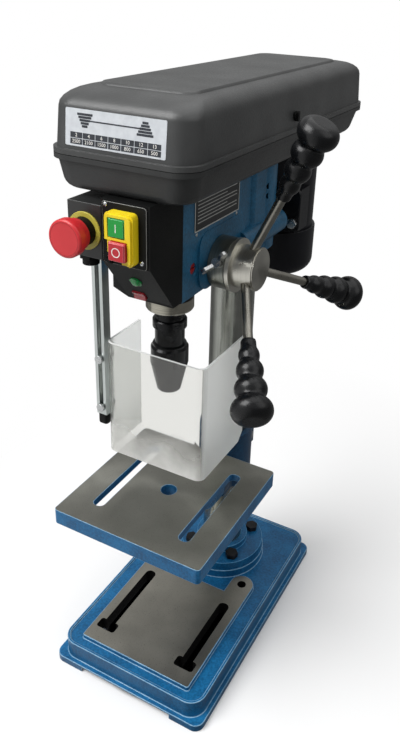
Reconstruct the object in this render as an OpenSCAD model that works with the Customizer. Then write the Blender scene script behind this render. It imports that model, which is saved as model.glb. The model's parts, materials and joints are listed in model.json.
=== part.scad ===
// Benchtop drill press as an assembly of named solids, in millimetres.
// Origin on the bench plane, midway between the two bench bolts.
// +X is the operator's right, +Y the rear, +Z up.

/* [Base] */
// Width of the base rim
base_w = 166; // [156:1:190]
// Length of the base rim
base_l = 276; // [262:1:310]
// Height of the base rim
base_h = 28; // [24:1:36]
// Base rim ahead of the column axis
base_front = 205; // [195:1:215]
// How far the foot flange stands out past the rim
foot_out = 5; // [3:0.5:8]
// Height of the foot flange
foot_h = 8; // [6:0.5:12]
// Wall of the base
base_t = 8; // [6:0.5:10]
// Height of the machined pad
pad_top = 31; // [29:0.5:40]
// Width of the machined pad
pad_w = 129; // [124:1:136]
// Length of the machined pad
pad_l = 127.5; // [122:0.5:134]
// Pad ahead of the spindle axis
pad_front = 67.5; // [64:0.5:72]
// Distance between the two bench bolts
bench_pitch = 102; // [96:1:110]
// Bench bolt hole diameter
bench_d = 10; // [8:0.5:11]
// Width of the base and table slots
slot_w = 12; // [9:0.5:14]
// Slots each side of the spindle axis
slot_x = 48; // [44:0.5:50]

/* [Column] */
// Column diameter
column_d = 46; // [40:1:48]
// Column axis behind the bench bolts
column_y = 47; // [44:1:52]
// Spindle axis to column axis
throat = 125; // [118:1:135]

/* [Head] */
// Height of the underside of the head casting
head_z = 426; // [400:1:450]
// Height of the head casting
head_h = 93; // [90:1:100]
// Width of the head casting
head_w = 66; // [62:1:72]
// Front of the head casting ahead of the spindle axis
head_front = 35; // [32:1:40]
// Feed shaft axis behind the spindle axis
feed_dy = 24; // [24:0.5:26]
// Feed shaft axis above the underside of the head
feed_dz = 18.7; // [16:0.1:22]

/* [Quill and chuck] */
// Quill diameter
quill_d = 40; // [38:0.5:41]
// Quill travel
travel = 50; // [40:1:52]
// Rack and pinion module
mod = 1.5; // [1.25:0.05:1.5]
// Pinion teeth
teeth = 12; // [12:1:13]
// Chuck shoulder diameter
chuck_d = 34.5; // [33:0.5:38]

/* [Feed levers] */
// Hub diameter
hub_d = 38; // [34:1:42]
// Depth ring diameter
ring_d = 46; // [40:1:50]
// Lever length from the hub axis
lever_l = 146; // [124:1:160]
// Lever lean away from the head in degrees
lever_lean = 26; // [15:1:30]
// Rest angle of the first lever from the rear, upwards
lever_a = 94.8; // [60:0.2:120]
// Lever rod diameter
rod_d = 8; // [6:0.5:9]
// Grip length
grip_l = 72; // [60:1:84]

/* [Pulley cover] */
// Width over the cover rim
cover_w = 130; // [124:1:140]
// Length over the cover rim
cover_l = 382; // [374:1:400]
// Front of the rim ahead of the spindle axis
cover_front = 79; // [76:1:84]
// Height of the pan
pan_h = 26.5; // [24:0.5:30]
// Height of the lid
lid_h = 49.5; // [48:0.5:56]
// Wall of pan and lid
cover_t = 2.5; // [2:0.1:3]

/* [Motor] */
// Motor axis behind the column axis
motor_dy = 95; // [93:1:101]
// Motor shell diameter
motor_d = 86; // [82:1:90]
// Motor height
motor_h = 142; // [134:1:150]
// Belt tension travel
tension = 12; // [6:1:12]

/* [Table] */
// Table width and depth
table_w = 160; // [150:1:164]
// Table top height
table_z = 200; // [185:1:205]
// Table rim height
table_t = 16; // [14:0.5:20]
// Centre hole diameter
table_hole_d = 16; // [12:0.5:20]
// Height of the bracket sleeve
sleeve_h = 67; // [60:1:72]

/* [Guard] */
// Guard width
guard_w = 102; // [96:1:106]
// Guard height
guard_h = 115; // [100:1:120]
// Top edge of the guard
guard_z = 369; // [360:1:380]

/* [Fits] */
// Radial running clearance
run = 0.05; // [0.02:0.01:0.1]
// Clearance between pieces that move apart
gap = 0.4; // [0.3:0.05:0.6]

/* [Hidden] */
$fn = 64;
eps = 0.01;
spindle_y = column_y - throat;
head_top = head_z + head_h;
hx = head_w/2;
front_y = spindle_y - head_front;
feed_y = spindle_y + feed_dy;
feed_z = head_z + feed_dz;
motor_y = column_y + motor_dy;
belt_l = motor_y - spindle_y;
base_y0 = column_y - base_front;
base_cy = base_y0 + base_l/2;
pad_y1 = spindle_y - pad_front + pad_l;
lug_r = pad_w/2 - bench_pitch/2;
pad_r = 2.5;
base_r = 17;
foot_r = 10;
table_r = 4;
flange_r = 49;
boss_r = flange_r + 1.5;
boss_z = pad_top + 5;
flange_t = 10;
bolt_af = 13;
flange_bolt_r = column_d/2 + 15;
bolt_hole_z = base_h - 8;
ring_low = head_z - 24;
ring_r = quill_d/2 + 1.5;
quill_z0 = ring_low + 1;
quill_z1 = feed_z + travel + 5;
pitch_r = mod*teeth/2;
rack_y = spindle_y + feed_dy - pitch_r;
bearing_z = head_top - 12;
pan_z = head_top;
rim_z = pan_z + pan_h;
cover_y0 = spindle_y - cover_front;
cover_cy = cover_y0 + cover_l/2;
pulley_z = pan_z + 6;
step_h = 10;
step_r = [46, 39, 32, 25, 18];
mid_r = step_r[2];
belt_z = pulley_z + 2.5*step_h;
chuck_z = ring_low - 10.5;
nose_z = chuck_z - 72;
nose_l = 26;
sleeve_l = 46;
neck_r = 13.5;
sleeve_in = chuck_d/2 - 1.8;
nose_r = 11;
nose_in = nose_r - 1.7;
jaw_a = 11;
jaw_r = 2.6;
jaw_z = nose_z + 1;
jaw_c = jaw_r + 0.3;
jaw_l = 18;
jaw_open = 20;
boss_out = 2;
boss_h = 50.5;
boss_l = 84;
ring_x = hx + boss_out + gap;
ring_l = 16;
hub_x = ring_x + ring_l + gap;
hub_l = 23;
lever_x = hub_x + 7.5;
shaft_r = 8;
stub_r = 7;
journal_r = 11;
pinion_x = 12;
neck_x = sqrt(pow(quill_d/2, 2) - pow(feed_dy - journal_r - gap, 2)) + 0.5;
box_y = front_y - 47;
box_x0 = hx - 43;
slope_dy = 33;
slope_dz = 42;
slope_a = atan2(slope_dz, -slope_dy);
box_z = head_z + 44;
rocker_z = -1.2;
plate_t = 1.5;
frame_t = 9;
plate_w = 39;
plate_h = 48;
frame_cx = box_x0 + plate_w/2 + 2;
frame_cz = box_z + 23;
key_w = 14.5;
start_x = -1;
start_z = 9;
stop_x = 0.9;
stop_z = -8.2;
estop_x = box_x0 - 15.5;
estop_z = box_z + 21;
stop_r = 15;
plate_y = motor_y - motor_d/2 - 6;
slide_x = 31.5;
slide_z = head_z + 21;
slide_r = 5.5;
lug_round = 12.5;
mount_w = 98;
mount_h = 46;
motor_bolt_x = mount_w/2 - 7;
motor_bolt_z = slide_z - 7;
rear_y = column_y + 31;
seal_y = spindle_y - 18;
seal_z = feed_z + 6;
set_y = column_y - 9;
set_z = [head_z + 55, head_z + 64.5];
motor_top = head_top - 7;
motor_bot = motor_top - motor_h;
bell_top = motor_bot + 52;
bell_r = motor_d/2 + 3;
bell_round = 14;
tilt_z = table_z - table_t - 26;
tilt_y = spindle_y + table_w/2 - 4;
sleeve_z = table_z + 7 - sleeve_h;
sleeve_r = column_d/2 + 6;
clamp_y = column_y + sleeve_r + 8;
clamp_z = sleeve_z + sleeve_h/2;
clamp_r = 5;
ear_x = 13;
tommy_ball = 5.5;
tommy_x = -sleeve_r - tommy_ball - 2.5;
screw_drop = [19, 70];
screw_r = 1.6;
bar_x = -52.5;
bar_y = spindle_y - 30;
bar_w = 11;
bar_d = 10;
bar_z0 = guard_z - screw_drop[1] - 8;
pivot_x = -62;
pivot_y = spindle_y - 17;
block_z = box_z;
guard_x0 = bar_x + bar_w/2 + gap/2;
guard_y0 = bar_y - bar_d/2;
guard_t = 2.2;
hinge_x = -cover_w/2 - 4;
hinge_y = [cover_cy - 74, cover_cy + 66];
latch_y = cover_cy - 6.5;
latch_z = rim_z + 14.5;

// Sub-part to build, or all

// Helpers
module rrect(w, l, r) {
    square([w - 2*r, l], center = true);
    square([w, l - 2*r], center = true);
    for (i = [-1, 1], j = [-1, 1]) translate([i*(w/2 - r), j*(l/2 - r)]) circle(r);
}
module rbox(x0, x1, y0, y1, z0, z1, r) {
    translate([(x0 + x1)/2, (y0 + y1)/2, z0]) linear_extrude(z1 - z0) rrect(x1 - x0, y1 - y0, r);
}
module box(x0, x1, y0, y1, z0, z1) { translate([x0, y0, z0]) cube([x1 - x0, y1 - y0, z1 - z0]); }
module cz(x, y, r, z0, z1) { translate([x, y, z0]) cylinder(r = r, h = z1 - z0); }
module cx(y, z, r, x0, x1) { translate([x0, y, z]) rotate([0, 90, 0]) cylinder(r = r, h = x1 - x0); }
module cy(x, z, r, y0, y1) { translate([x, y0, z]) rotate([-90, 0, 0]) cylinder(r = r, h = y1 - y0); }
module hexz(x, y, af, z0, z1) { translate([x, y, z0]) cylinder(d = af/cos(30), h = z1 - z0, $fn = 6); }
module yz(x0, x1) { translate([x0, 0, 0]) rotate([90, 0, 90]) linear_extrude(x1 - x0) children(); }
module on_lever(i) {
    translate([lever_x, feed_y, feed_z]) rotate([lever_a + 120*i - 90, 0, 0])
        rotate([0, lever_lean, 0]) children();
}
module on_slope(x, t) {
    translate([x, box_y + slope_dy*t, box_z - slope_dz*t]) rotate([slope_a, 0, 0]) children();
}
module on_jaw(i) {
    translate([0, spindle_y, jaw_z]) rotate([0, 0, 120*i + 90]) translate([jaw_c, 0, 0])
        rotate([0, jaw_a, 0]) children();
}

// Base and column
module base_slots() {
    for (i = [-1, 1]) {
        translate([i*slot_x, spindle_y, 0]) {
            rbox(-slot_w/2, slot_w/2, -45, 44, 6, pad_top + 1, slot_w/2 - 0.5);
            rbox(-slot_w/2 - 5, slot_w/2 + 5, -51, -51 + slot_w, 6, pad_top + 1, 3);
        }
    }
}
module base() {
    color([0.11, 0.26, 0.42]) difference() {
        union() {
            difference() {
                union() {
                    translate([0, base_cy, 0]) linear_extrude(foot_h)
                        rrect(base_w + 2*foot_out, base_l + 2*foot_out, foot_r);
                    translate([0, base_cy, 0]) linear_extrude(base_h) rrect(base_w, base_l, base_r);
                }
                translate([0, base_cy, base_h - 2]) linear_extrude(3)
                    rrect(base_w - 6, base_l - 6, base_r - 3);
                translate([0, base_cy, -1]) linear_extrude(base_h - 11)
                    rrect(base_w - 2*base_t, base_l - 2*base_t, base_r - base_t);
            }
            rbox(-pad_w/2, pad_w/2, spindle_y - pad_front, pad_y1, base_h - 10, pad_top, pad_r);
            for (i = [-1, 1]) {
                cz(i*bench_pitch/2, 0, lug_r, base_h - 10, pad_top);
                cz(i*bench_pitch/2, 0, 13, 0, pad_top);
                translate([0, 0, base_h - 10]) linear_extrude(pad_top - base_h + 10)
                    polygon([[i*(bench_pitch/2 - lug_r), pad_y1 - 10], [i*pad_w/2, pad_y1 - 10],
                    [i*(bench_pitch/2 + lug_r), 0], [i*(bench_pitch/2 - lug_r), 0]]);
            }
            cz(0, column_y, boss_r, base_h - 12, boss_z);
        }
        for (i = [-1, 1]) cz(i*bench_pitch/2, 0, bench_d/2, -1, pad_top + 1);
        base_slots();
        for (a = [45:90:315]) translate([0, column_y, 0]) rotate([0, 0, a])
            cz(flange_bolt_r, 0, 4, bolt_hole_z, boss_z + 1);
        for (j = [-1, 1]) translate([0, base_cy + j*(base_l/2 + foot_out), 0])
            box(-base_w/2 + 30, base_w/2 - 30, -15, 15, -1, 6);
    }
}
module column_flange() {
    color([0.08, 0.17, 0.28]) difference() {
        union() {
            cz(0, column_y, flange_r, boss_z, boss_z + flange_t);
            cz(0, column_y, flange_bolt_r - bolt_af/2/cos(30) - gap, boss_z, boss_z + flange_t + 7);
        }
        cz(0, column_y, column_d/2, boss_z - 1, boss_z + flange_t + 8);
        for (a = [45:90:315]) translate([0, column_y, 0]) rotate([0, 0, a])
            cz(flange_bolt_r, 0, 4.2, boss_z - 1, boss_z + flange_t + 1);
    }
}
module flange_bolts() {
    color([0.2, 0.2, 0.22]) for (a = [45:90:315]) translate([0, column_y, 0]) rotate([0, 0, a]) {
        cz(flange_bolt_r, 0, 4, bolt_hole_z + 1, boss_z + flange_t + 1);
        hexz(flange_bolt_r, 0, bolt_af, boss_z + flange_t, boss_z + flange_t + 6);
    }
}
module column() {
    color([0.75, 0.76, 0.78]) difference() {
        cz(0, column_y, column_d/2, boss_z, head_top - 14);
        cz(0, column_y, column_d/2 - 4, boss_z - 1, head_top - 13);
    }
}

// Head
module feed_boss(i) {
    mirror([i < 0 ? 1 : 0, 0, 0]) intersection() {
        yz(0, hx + boss_out) translate([feed_y + 7, head_z + boss_h/2]) rrect(boss_l, boss_h, 15);
        translate([0, feed_y + boss_l, head_z]) rotate([90, 0, 0]) linear_extrude(2*boss_l) polygon([[0, 0],
            [hx + boss_out, 0], [hx + boss_out, boss_h - 11], [hx + 0.4, boss_h], [0, boss_h]]);
    }
}
module head_casting() {
    color([0.12, 0.28, 0.44]) difference() {
        union() {
            box(-hx, hx, front_y, column_y, head_z, head_top);
            rbox(-hx - 3, hx + 3, spindle_y + 84, column_y + 12, head_z, head_top, 8);
            intersection() {
                cz(0, column_y, 38, head_z, head_top);
                box(-40, 40, column_y - 40, rear_y, head_z - 1, head_top + 1);
            }
            for (i = [-1, 1]) {
                cy(i*slide_x, slide_z, lug_round, column_y - 61, rear_y - 4);
                feed_boss(i);
            }
        }
        cz(0, spindle_y, quill_d/2 + run, head_z - 1, quill_z1 + 4);
        cz(0, spindle_y, 11, quill_z1 + 3, head_top + 1);
        cz(0, spindle_y, 17.5, bearing_z, head_top + 1);
        cz(0, column_y, column_d/2, head_z - 1, head_top - 14);
        cx(feed_y, feed_z, journal_r + run, 0, hx + 3);
        cx(feed_y, feed_z, stub_r + run, -hx - 3, 0);
        cx(feed_y, feed_z, pitch_r + mod + 1.5, -pinion_x - 2, pinion_x + 2);
        rbox(-hx + 8, hx - 8, spindle_y + 32, column_y - column_d/2 - 8, slide_z + 20, head_top + 1, 6);
        for (i = [-1, 1]) cy(i*slide_x, slide_z, slide_r + run, column_y - 54, rear_y);
        cx(seal_y, seal_z, 5, hx - 9, hx + 1);
        for (z = set_z) cx(set_y, z, 3, 20, hx + 4);
    }
}
module column_screws() {
    color([0.15, 0.15, 0.16]) for (z = set_z) difference() {
        cx(set_y, z, 3, 22.2, hx + 2);
        translate([hx - 2, set_y, z]) rotate([0, 90, 0]) cylinder(d = 3.4, h = 5, $fn = 6);
    }
}
module nose_ring() {
    color([0.7, 0.7, 0.68]) difference() {
        union() {
            cz(0, spindle_y, ring_r, ring_low + 1, head_z);
            cz(0, spindle_y, ring_r - 0.6, ring_low, ring_low + 2);
        }
        cz(0, spindle_y, quill_d/2 + run, ring_low - 1, head_z + 1);
    }
}
module sealed_screw() {
    color([0.6, 0.08, 0.06]) difference() {
        cx(seal_y, seal_z, 5, hx - 9, hx - 1.5);
        box(hx - 3, hx, seal_y - 6, seal_y + 6, seal_z - 0.7, seal_z + 0.7);
    }
}

// Switches on the front of the head
module switch_housing() {
    color([0.07, 0.07, 0.08]) difference() {
        union() {
            translate([0, 0, head_z + 1]) linear_extrude(head_h - 1) polygon([[hx, front_y],
                [hx, front_y - 14], [box_x0, front_y - 14], [-hx, front_y - 3], [-hx, front_y]]);
            yz(box_x0, hx) polygon([[front_y - 14, head_top], [box_y, head_top], [box_y, box_z],
                [box_y + slope_dy, box_z - slope_dz]]);
        }
        box(box_x0 + 3, hx - 3, box_y + 3, front_y + 1, box_z + 3, head_top - 3);
        on_slope(box_x0 + 15, 0.84) {
            box(-6, 6, -4.4, 4.4, -2.6, 5);
            cx(0, rocker_z, 1 + run, -8, 8);
        }
    }
}
module switch_plate() {
    color([0.16, 0.16, 0.17]) translate([0, box_y, 0]) rotate([90, 0, 0]) linear_extrude(plate_t)
        translate([frame_cx, box_z + plate_h/2]) rrect(plate_w, plate_h, 2.5);
}
module switch_frame() {
    color([0.9, 0.75, 0.1]) translate([frame_cx, box_y - plate_t, frame_cz]) rotate([90, 0, 0]) difference() {
        union() {
            linear_extrude(frame_t - 2) rrect(25, 40, 4);
            linear_extrude(frame_t) rrect(22.5, 37.5, 3.5);
        }
        translate([start_x, start_z, 3]) linear_extrude(frame_t) square(key_w + 2*gap, center = true);
        translate([stop_x, stop_z, 3]) linear_extrude(frame_t) square(key_w + 2*gap, center = true);
        translate([-12, stop_z, 4]) linear_extrude(frame_t) square([14, key_w + 2*gap], center = true);
        translate([stop_x, -18, 5]) linear_extrude(frame_t) square([key_w + 2*gap, 6], center = true);
    }
}
module button(dx, dz, z0, h) {
    translate([frame_cx + dx, box_y - plate_t, frame_cz + dz]) rotate([90, 0, 0]) {
        translate([0, 0, z0]) linear_extrude(h - 1) rrect(key_w, key_w, 0.8);
        translate([0, 0, z0]) linear_extrude(h) rrect(key_w - 1.4, key_w - 1.4, 0.8);
    }
}
module start_button() { color([0.1, 0.5, 0.28]) button(start_x, start_z, 6, 3.5); }
module stop_button() { color([0.75, 0.1, 0.12]) button(stop_x, stop_z, 6.5, 6); }
module power_lamp() {
    color([0.05, 0.5, 0.25]) on_slope(box_x0 + 21, 0.42) {
        cylinder(r = 5.2, h = 1.2);
        translate([0, 0, 1.2]) intersection() {
            translate([0, 0, -2.4]) sphere(r = 5);
            cylinder(r = 6, h = 6);
        }
    }
}
module lamp_rocker() {
    color([0.75, 0.12, 0.12]) on_slope(box_x0 + 15, 0.84) {
        yz(-5.5, 5.5) polygon([[-3.9, -1], [3.9, -1], [3.9, 1.6], [0, 1], [-3.9, 3]]);
        cx(0, rocker_z, 1, -7.5, 7.5);
    }
}
module estop_box() {
    color([0.08, 0.08, 0.09]) difference() {
        union() {
            box(estop_x - 16, box_x0, box_y, front_y - 3, box_z - 0.5, box_z + 43);
            box(-hx, box_x0, front_y - 14, front_y - 3, box_z - 0.5, box_z + 43);
        }
        translate([0, 0, box_z - 1]) linear_extrude(45) polygon([[box_x0, front_y - 14], [-hx, front_y - 3],
            [-hx, front_y], [box_x0, front_y]]);
        cy(estop_x, estop_z, 8, box_y - 1, box_y + 22);
    }
}
module estop_ring() {
    color([0.9, 0.8, 0.2]) difference() {
        cy(estop_x, estop_z, 15, box_y - 1.6, box_y);
        cy(estop_x, estop_z, 11, box_y - 3, box_y + 1);
    }
}
module estop_collar() {
    color([0.06, 0.06, 0.07]) difference() {
        union() {
            cy(estop_x, estop_z, 11, box_y - 9, box_y);
            cy(estop_x, estop_z, 8, box_y - 1, box_y + 12);
        }
        cy(estop_x, estop_z, 6 + run, box_y - 10, box_y + 13);
    }
}
module estop_button() {
    color([0.8, 0.12, 0.12]) translate([estop_x, box_y - 13.5, estop_z]) rotate([90, 0, 0]) rotate_extrude() {
        polygon([[0, -17], [6, -17], [6, 0], [11.6, 0], [11.6, -3.5], [12.6, -3.5], [13.4, 4.5], [0, 4.5]]);
        translate([0, 4]) square([stop_r, 5.5]);
        translate([0, 9.5]) square([stop_r - 2, 2]);
        translate([stop_r - 2, 9.5]) circle(2);
    }
}
module cable_gland() {
    color([0.05, 0.05, 0.05]) {
        hexz(estop_x - 4, box_y + 11, 16, box_z - 4.5, box_z - 0.5);
        difference() {
            cz(estop_x - 4, box_y + 11, 6.8, box_z - 10, box_z - 4.5 + eps);
            cz(estop_x - 4, box_y + 11, 4, box_z - 11, box_z - 6);
        }
    }
}

// Guard
module guard_block() {
    color([0.07, 0.07, 0.08]) difference() {
        rbox(pivot_x - 9, -hx, pivot_y - 9, pivot_y + 9, block_z, block_z + 22, 4);
        cz(pivot_x, pivot_y, 5 + run, block_z - 1, block_z + 23);
    }
}
module guard_link() {
    color([0.1, 0.1, 0.11]) {
        cz(pivot_x, pivot_y, 5, block_z - gap - 9, block_z + 24);
        cz(pivot_x, pivot_y, 8, block_z + 22 + gap, block_z + 26);
        cz(pivot_x, pivot_y, 9, block_z - gap - 9, block_z - gap);
        rbox(pivot_x - 8, bar_x + bar_w/2, bar_y - bar_d/2, pivot_y + 3, block_z - gap - 9, block_z - gap, 3);
    }
}
module guard_bar() {
    color([0.72, 0.73, 0.74]) difference() {
        box(bar_x - bar_w/2, bar_x + bar_w/2, bar_y - bar_d/2, bar_y + bar_d/2, bar_z0, block_z - gap - 9);
        box(bar_x - 2, bar_x + 2, bar_y - bar_d/2 - 1, bar_y + bar_d/2 + 1, bar_z0 + 6, block_z - 25);
        box(bar_x - 3.6, bar_x + 3.6, bar_y - bar_d/2 + 2, bar_y + bar_d/2 - 2, bar_z0 - 1, block_z - 25);
    }
}
module bar_cap() {
    color([0.12, 0.13, 0.1]) rbox(bar_x - bar_w/2 + 0.4, bar_x + bar_w/2 - 0.4, bar_y - bar_d/2 + 0.4,
        bar_y + bar_d/2 - 0.4, bar_z0 - 11, bar_z0, 3);
}
module guard_shell() {
    x1 = guard_x0 + guard_w;
    z0 = guard_z - guard_h;
    yl = spindle_y + 20;
    yr = spindle_y + 47;
    color([0.85, 0.88, 0.9, 0.4]) {
        difference() {
            rbox(guard_x0, x1, guard_y0, yr + 30, z0, guard_z, 8);
            rbox(guard_x0 + guard_t, x1 - guard_t, guard_y0 + guard_t, yr + 60, z0 - 1, guard_z + 1,
                8 - guard_t);
            box(guard_x0 - 1, guard_x0 + 30, yl, yr + 31, z0 - 1, guard_z + 1);
            box(guard_x0 + 20, x1 + 1, yr, yr + 31, z0 - 1, guard_z + 1);
            translate([0, yr, z0]) rotate([45, 0, 0]) box(x1 - 10, x1 + 1, -6, 6, -6, 6);
        }
        difference() {
            box(bar_x - bar_w/2, guard_x0 + guard_t, bar_y + bar_d/2 + gap, bar_y + bar_d/2 + gap + guard_t,
                guard_z - screw_drop[1] - 7, guard_z - 2);
            for (z = screw_drop) cy(bar_x, guard_z - z, screw_r, bar_y, bar_y + bar_d);
        }
    }
}
module guard_screws() {
    color([0.6, 0.6, 0.62]) for (z = screw_drop) translate([bar_x, 0, guard_z - z]) {
        cy(0, 0, screw_r, bar_y - bar_d/2 - gap, bar_y + bar_d/2 + gap + guard_t + 4);
        cy(0, 0, 4, bar_y - bar_d/2 - gap - 2.4, bar_y - bar_d/2 - gap);
        translate([0, bar_y + bar_d/2 + gap + guard_t, 0]) rotate([-90, 0, 0])
            cylinder(d = 8, h = 3, $fn = 6);
    }
}

// Quill, spindle and chuck
module quill() {
    p = PI*mod;
    hw = p/4 - 0.1;
    color([0.72, 0.72, 0.73]) difference() {
        cz(0, spindle_y, quill_d/2, quill_z0, quill_z1);
        cz(0, spindle_y, 8 + run, quill_z0 - 1, quill_z1 + 1);
        box(-pinion_x - 1, pinion_x + 1, rack_y + 0.8*mod, spindle_y + quill_d, feed_z - 12,
            quill_z1 + 1);
        for (k = [-2:ceil((quill_z1 - feed_z)/p)]) translate([0, rack_y, feed_z + (k + 0.5)*p])
            yz(-pinion_x - 1, pinion_x + 1) polygon([[-1.15*mod, hw - 0.62*mod + 0.2],
                [0.9*mod, hw + 0.35*mod + 0.2], [0.9*mod, -hw - 0.35*mod - 0.2],
                [-1.15*mod, -hw + 0.62*mod - 0.2]]);
    }
}
module spindle() {
    color([0.6, 0.6, 0.62]) {
        cz(0, spindle_y, 6, chuck_z - 18, chuck_z);
        cz(0, spindle_y, neck_r, chuck_z, quill_z0 - gap);
        cz(0, spindle_y, 8, chuck_z, quill_z1 + gap);
        cz(0, spindle_y, 9.5, quill_z1 + gap, quill_z1 + 2.5);
        cz(0, spindle_y, 6, quill_z1, pulley_z + 5*step_h + 6);
    }
}
module chuck_body() {
    color([0.1, 0.1, 0.11]) difference() {
        union() {
            translate([0, spindle_y, chuck_z - 8]) rotate_extrude() {
                polygon([[0, 0], [15.5, 0], [15.5, 7], [14.7, 8], [0, 8]]);
            }
            cz(0, spindle_y, neck_r, nose_z + sleeve_l + 1, chuck_z - 8);
            cz(0, spindle_y, sleeve_in, nose_z + nose_l, nose_z + sleeve_l + 1);
            translate([0, spindle_y, nose_z]) cylinder(r1 = nose_in, r2 = sleeve_in, h = nose_l);
        }
        cz(0, spindle_y, 6, chuck_z - 18, chuck_z + 1);
        cz(0, spindle_y, 6.5, nose_z - 1, nose_z + 30);
        for (i = [0:2]) on_jaw(i) translate([0, 0, -8]) cylinder(r = jaw_r + run, h = 8 + 45);
    }
}
module chuck_sleeve() {
    color([0.09, 0.09, 0.1]) difference() {
        translate([0, spindle_y, nose_z]) rotate_extrude() polygon([[8, 0], [nose_r - 0.8, 0], [nose_r, 0.8],
            [chuck_d/2 - 0.6, nose_l], [chuck_d/2, nose_l + 2], [chuck_d/2, sleeve_l - 2.5],
            [chuck_d/2 - 2.5, sleeve_l], [8, sleeve_l]]);
        translate([0, spindle_y, nose_z - 1]) cylinder(r = nose_in + run, h = 3);
        translate([0, spindle_y, nose_z]) cylinder(r1 = nose_in + run, r2 = sleeve_in + run, h = nose_l);
        cz(0, spindle_y, sleeve_in + run, nose_z + nose_l - eps, nose_z + sleeve_l + 1);
    }
}
module jaw(i) {
    a = 120*i + 90;
    slide = [sin(jaw_a)*cos(a), sin(jaw_a)*sin(a), cos(jaw_a)];
    color([0.65, 0.65, 0.66]) translate(jaw_open*slide) difference() {
        on_jaw(i) translate([0, 0, -6]) cylinder(r = jaw_r, h = jaw_l + 6);
        box(-20, 20, spindle_y - 20, spindle_y + 20, jaw_z - 30, jaw_z - 0.5);
        translate([0, spindle_y, 0]) rotate([0, 0, a]) {
            translate([0, 0, jaw_z - 5]) rotate([0, 0, 60]) box(-40, 0.3, -40, 40, 0, 60);
            translate([0, 0, jaw_z - 5]) rotate([0, 0, -60]) box(-40, 0.3, -40, 40, 0, 60);
        }
    }
}
module chuck_jaw_1() { jaw(0); }
module chuck_jaw_2() { jaw(1); }
module chuck_jaw_3() { jaw(2); }

// Feed
module feed_shaft() {
    // Radius and half angle at the root, pitch circle and tip of one tooth
    tooth = [[pitch_r - 1.25*mod, -8.2], [pitch_r, -6.3], [pitch_r + 0.75*mod, -2.8],
        [pitch_r + 0.75*mod, 2.8], [pitch_r, 6.3], [pitch_r - 1.25*mod, 8.2]];
    color([0.6, 0.6, 0.62]) translate([0, feed_y, feed_z]) {
        cx(0, 0, stub_r, -hx - 24, eps - pinion_x);
        yz(-pinion_x, pinion_x) polygon([for (k = [0:teeth - 1], q = tooth)
            let (a = (k + 0.5)*360/teeth + q[1]*12/teeth) [q[0]*cos(a), q[0]*sin(a)]]);
        cx(0, 0, stub_r, pinion_x - eps, neck_x + 1);
        cx(0, 0, journal_r, neck_x, ring_x - gap);
        cx(0, 0, shaft_r, neck_x, hub_x + hub_l - 3);
    }
}
module feed_hub() {
    color([0.7, 0.7, 0.68]) difference() {
        union() {
            cx(feed_y, feed_z, ring_d/2 + 0.8, hub_x, hub_x + 3.5);
            cx(feed_y, feed_z, hub_d/2 - 1, hub_x, hub_x + hub_l);
            cx(feed_y, feed_z, hub_d/2, hub_x, hub_x + hub_l - 1);
        }
        cx(feed_y, feed_z, shaft_r, hub_x - 1, hub_x + hub_l - 3);
        for (i = [0:2]) on_lever(i) translate([0, 0, 11]) cylinder(d = rod_d, h = 30);
    }
}
module feed_rods() {
    color([0.75, 0.75, 0.76]) for (i = [0:2]) on_lever(i) translate([0, 0, 11])
        cylinder(d = rod_d, h = lever_l - grip_l + 10 - 11);
}
module feed_grips() {
    // Start, end and radius of each barrel on a grip of 72 mm
    barrels = [[8.5, 20.3, 8.8], [20.3, 35.6, 11.2], [35.6, 52.5, 13.3]];
    barrel_r = 10.2;
    color([0.05, 0.05, 0.06]) for (i = [0:2]) on_lever(i) translate([0, 0, lever_l - grip_l]) difference() {
        scale(grip_l/72) rotate_extrude() {
            polygon([[0, 0], [6.1, 0], [6.5, 0.6], [6.5, 10], [0, 10]]);
            for (q = barrels) intersection() {
                translate([q[2] - barrel_r, (q[0] + q[1])/2]) circle(barrel_r);
                translate([0, q[0]]) square([q[2], q[1] - q[0]]);
            }
            intersection() {
                translate([6.6, 61.8]) circle(10.2);
                square([20, 80]);
            }
            translate([0, 52]) square([6.6, 20]);
        }
        translate([0, 0, -1]) cylinder(d = rod_d, h = 11);
        translate([0, 0, grip_l - 0.5]) cylinder(r = 20, h = 5);
    }
}
module depth_ring() {
    color([0.6, 0.6, 0.58]) difference() {
        union() {
            cx(feed_y, feed_z, ring_d/2, ring_x, ring_x + ring_l - 1);
            cx(feed_y, feed_z, ring_d/2 - 1, ring_x, ring_x + ring_l);
        }
        cx(feed_y, feed_z, shaft_r + run, ring_x - 1, ring_x + ring_l + 1);
        on_screw() cz(0, 0, 2.5, ring_d/2 - 10, ring_d/2 + 1);
    }
}
module on_screw() {
    translate([ring_x + 10.5, feed_y, feed_z]) rotate([161.6 - 90, 0, 0]) children();
}
module depth_screw() {
    color([0.75, 0.75, 0.76]) on_screw() {
        cz(0, 0, 2.5, ring_d/2 - 9, ring_d/2 + 1);
        cz(0, 0, 4.2, ring_d/2, ring_d/2 + 6);
        rotate([0, 0, 49]) translate([0, 1.4, ring_d/2]) rotate([90, 0, 0]) linear_extrude(2.8) difference() {
            union() {
                polygon([[-4, 0], [4, 0], [13, 6], [13, 11], [8, 11],
                    [3, 6], [-3, 6], [-8, 11], [-13, 11], [-13, 6]]);
                for (i = [-1, 1]) translate([i*10.5, 9.5]) circle(3.2);
            }
            translate([-20, 12.4]) square([40, 3]);
        }
    }
}
module spring_cap() {
    color([0.1, 0.1, 0.11]) difference() {
        cx(feed_y, feed_z, 23, -hx - 17, -hx - 2);
        cx(feed_y, feed_z, 20.5, -hx - 14.5, -hx - 1);
        cx(feed_y, feed_z, stub_r + gap, -hx - 18, -hx);
    }
}
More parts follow.
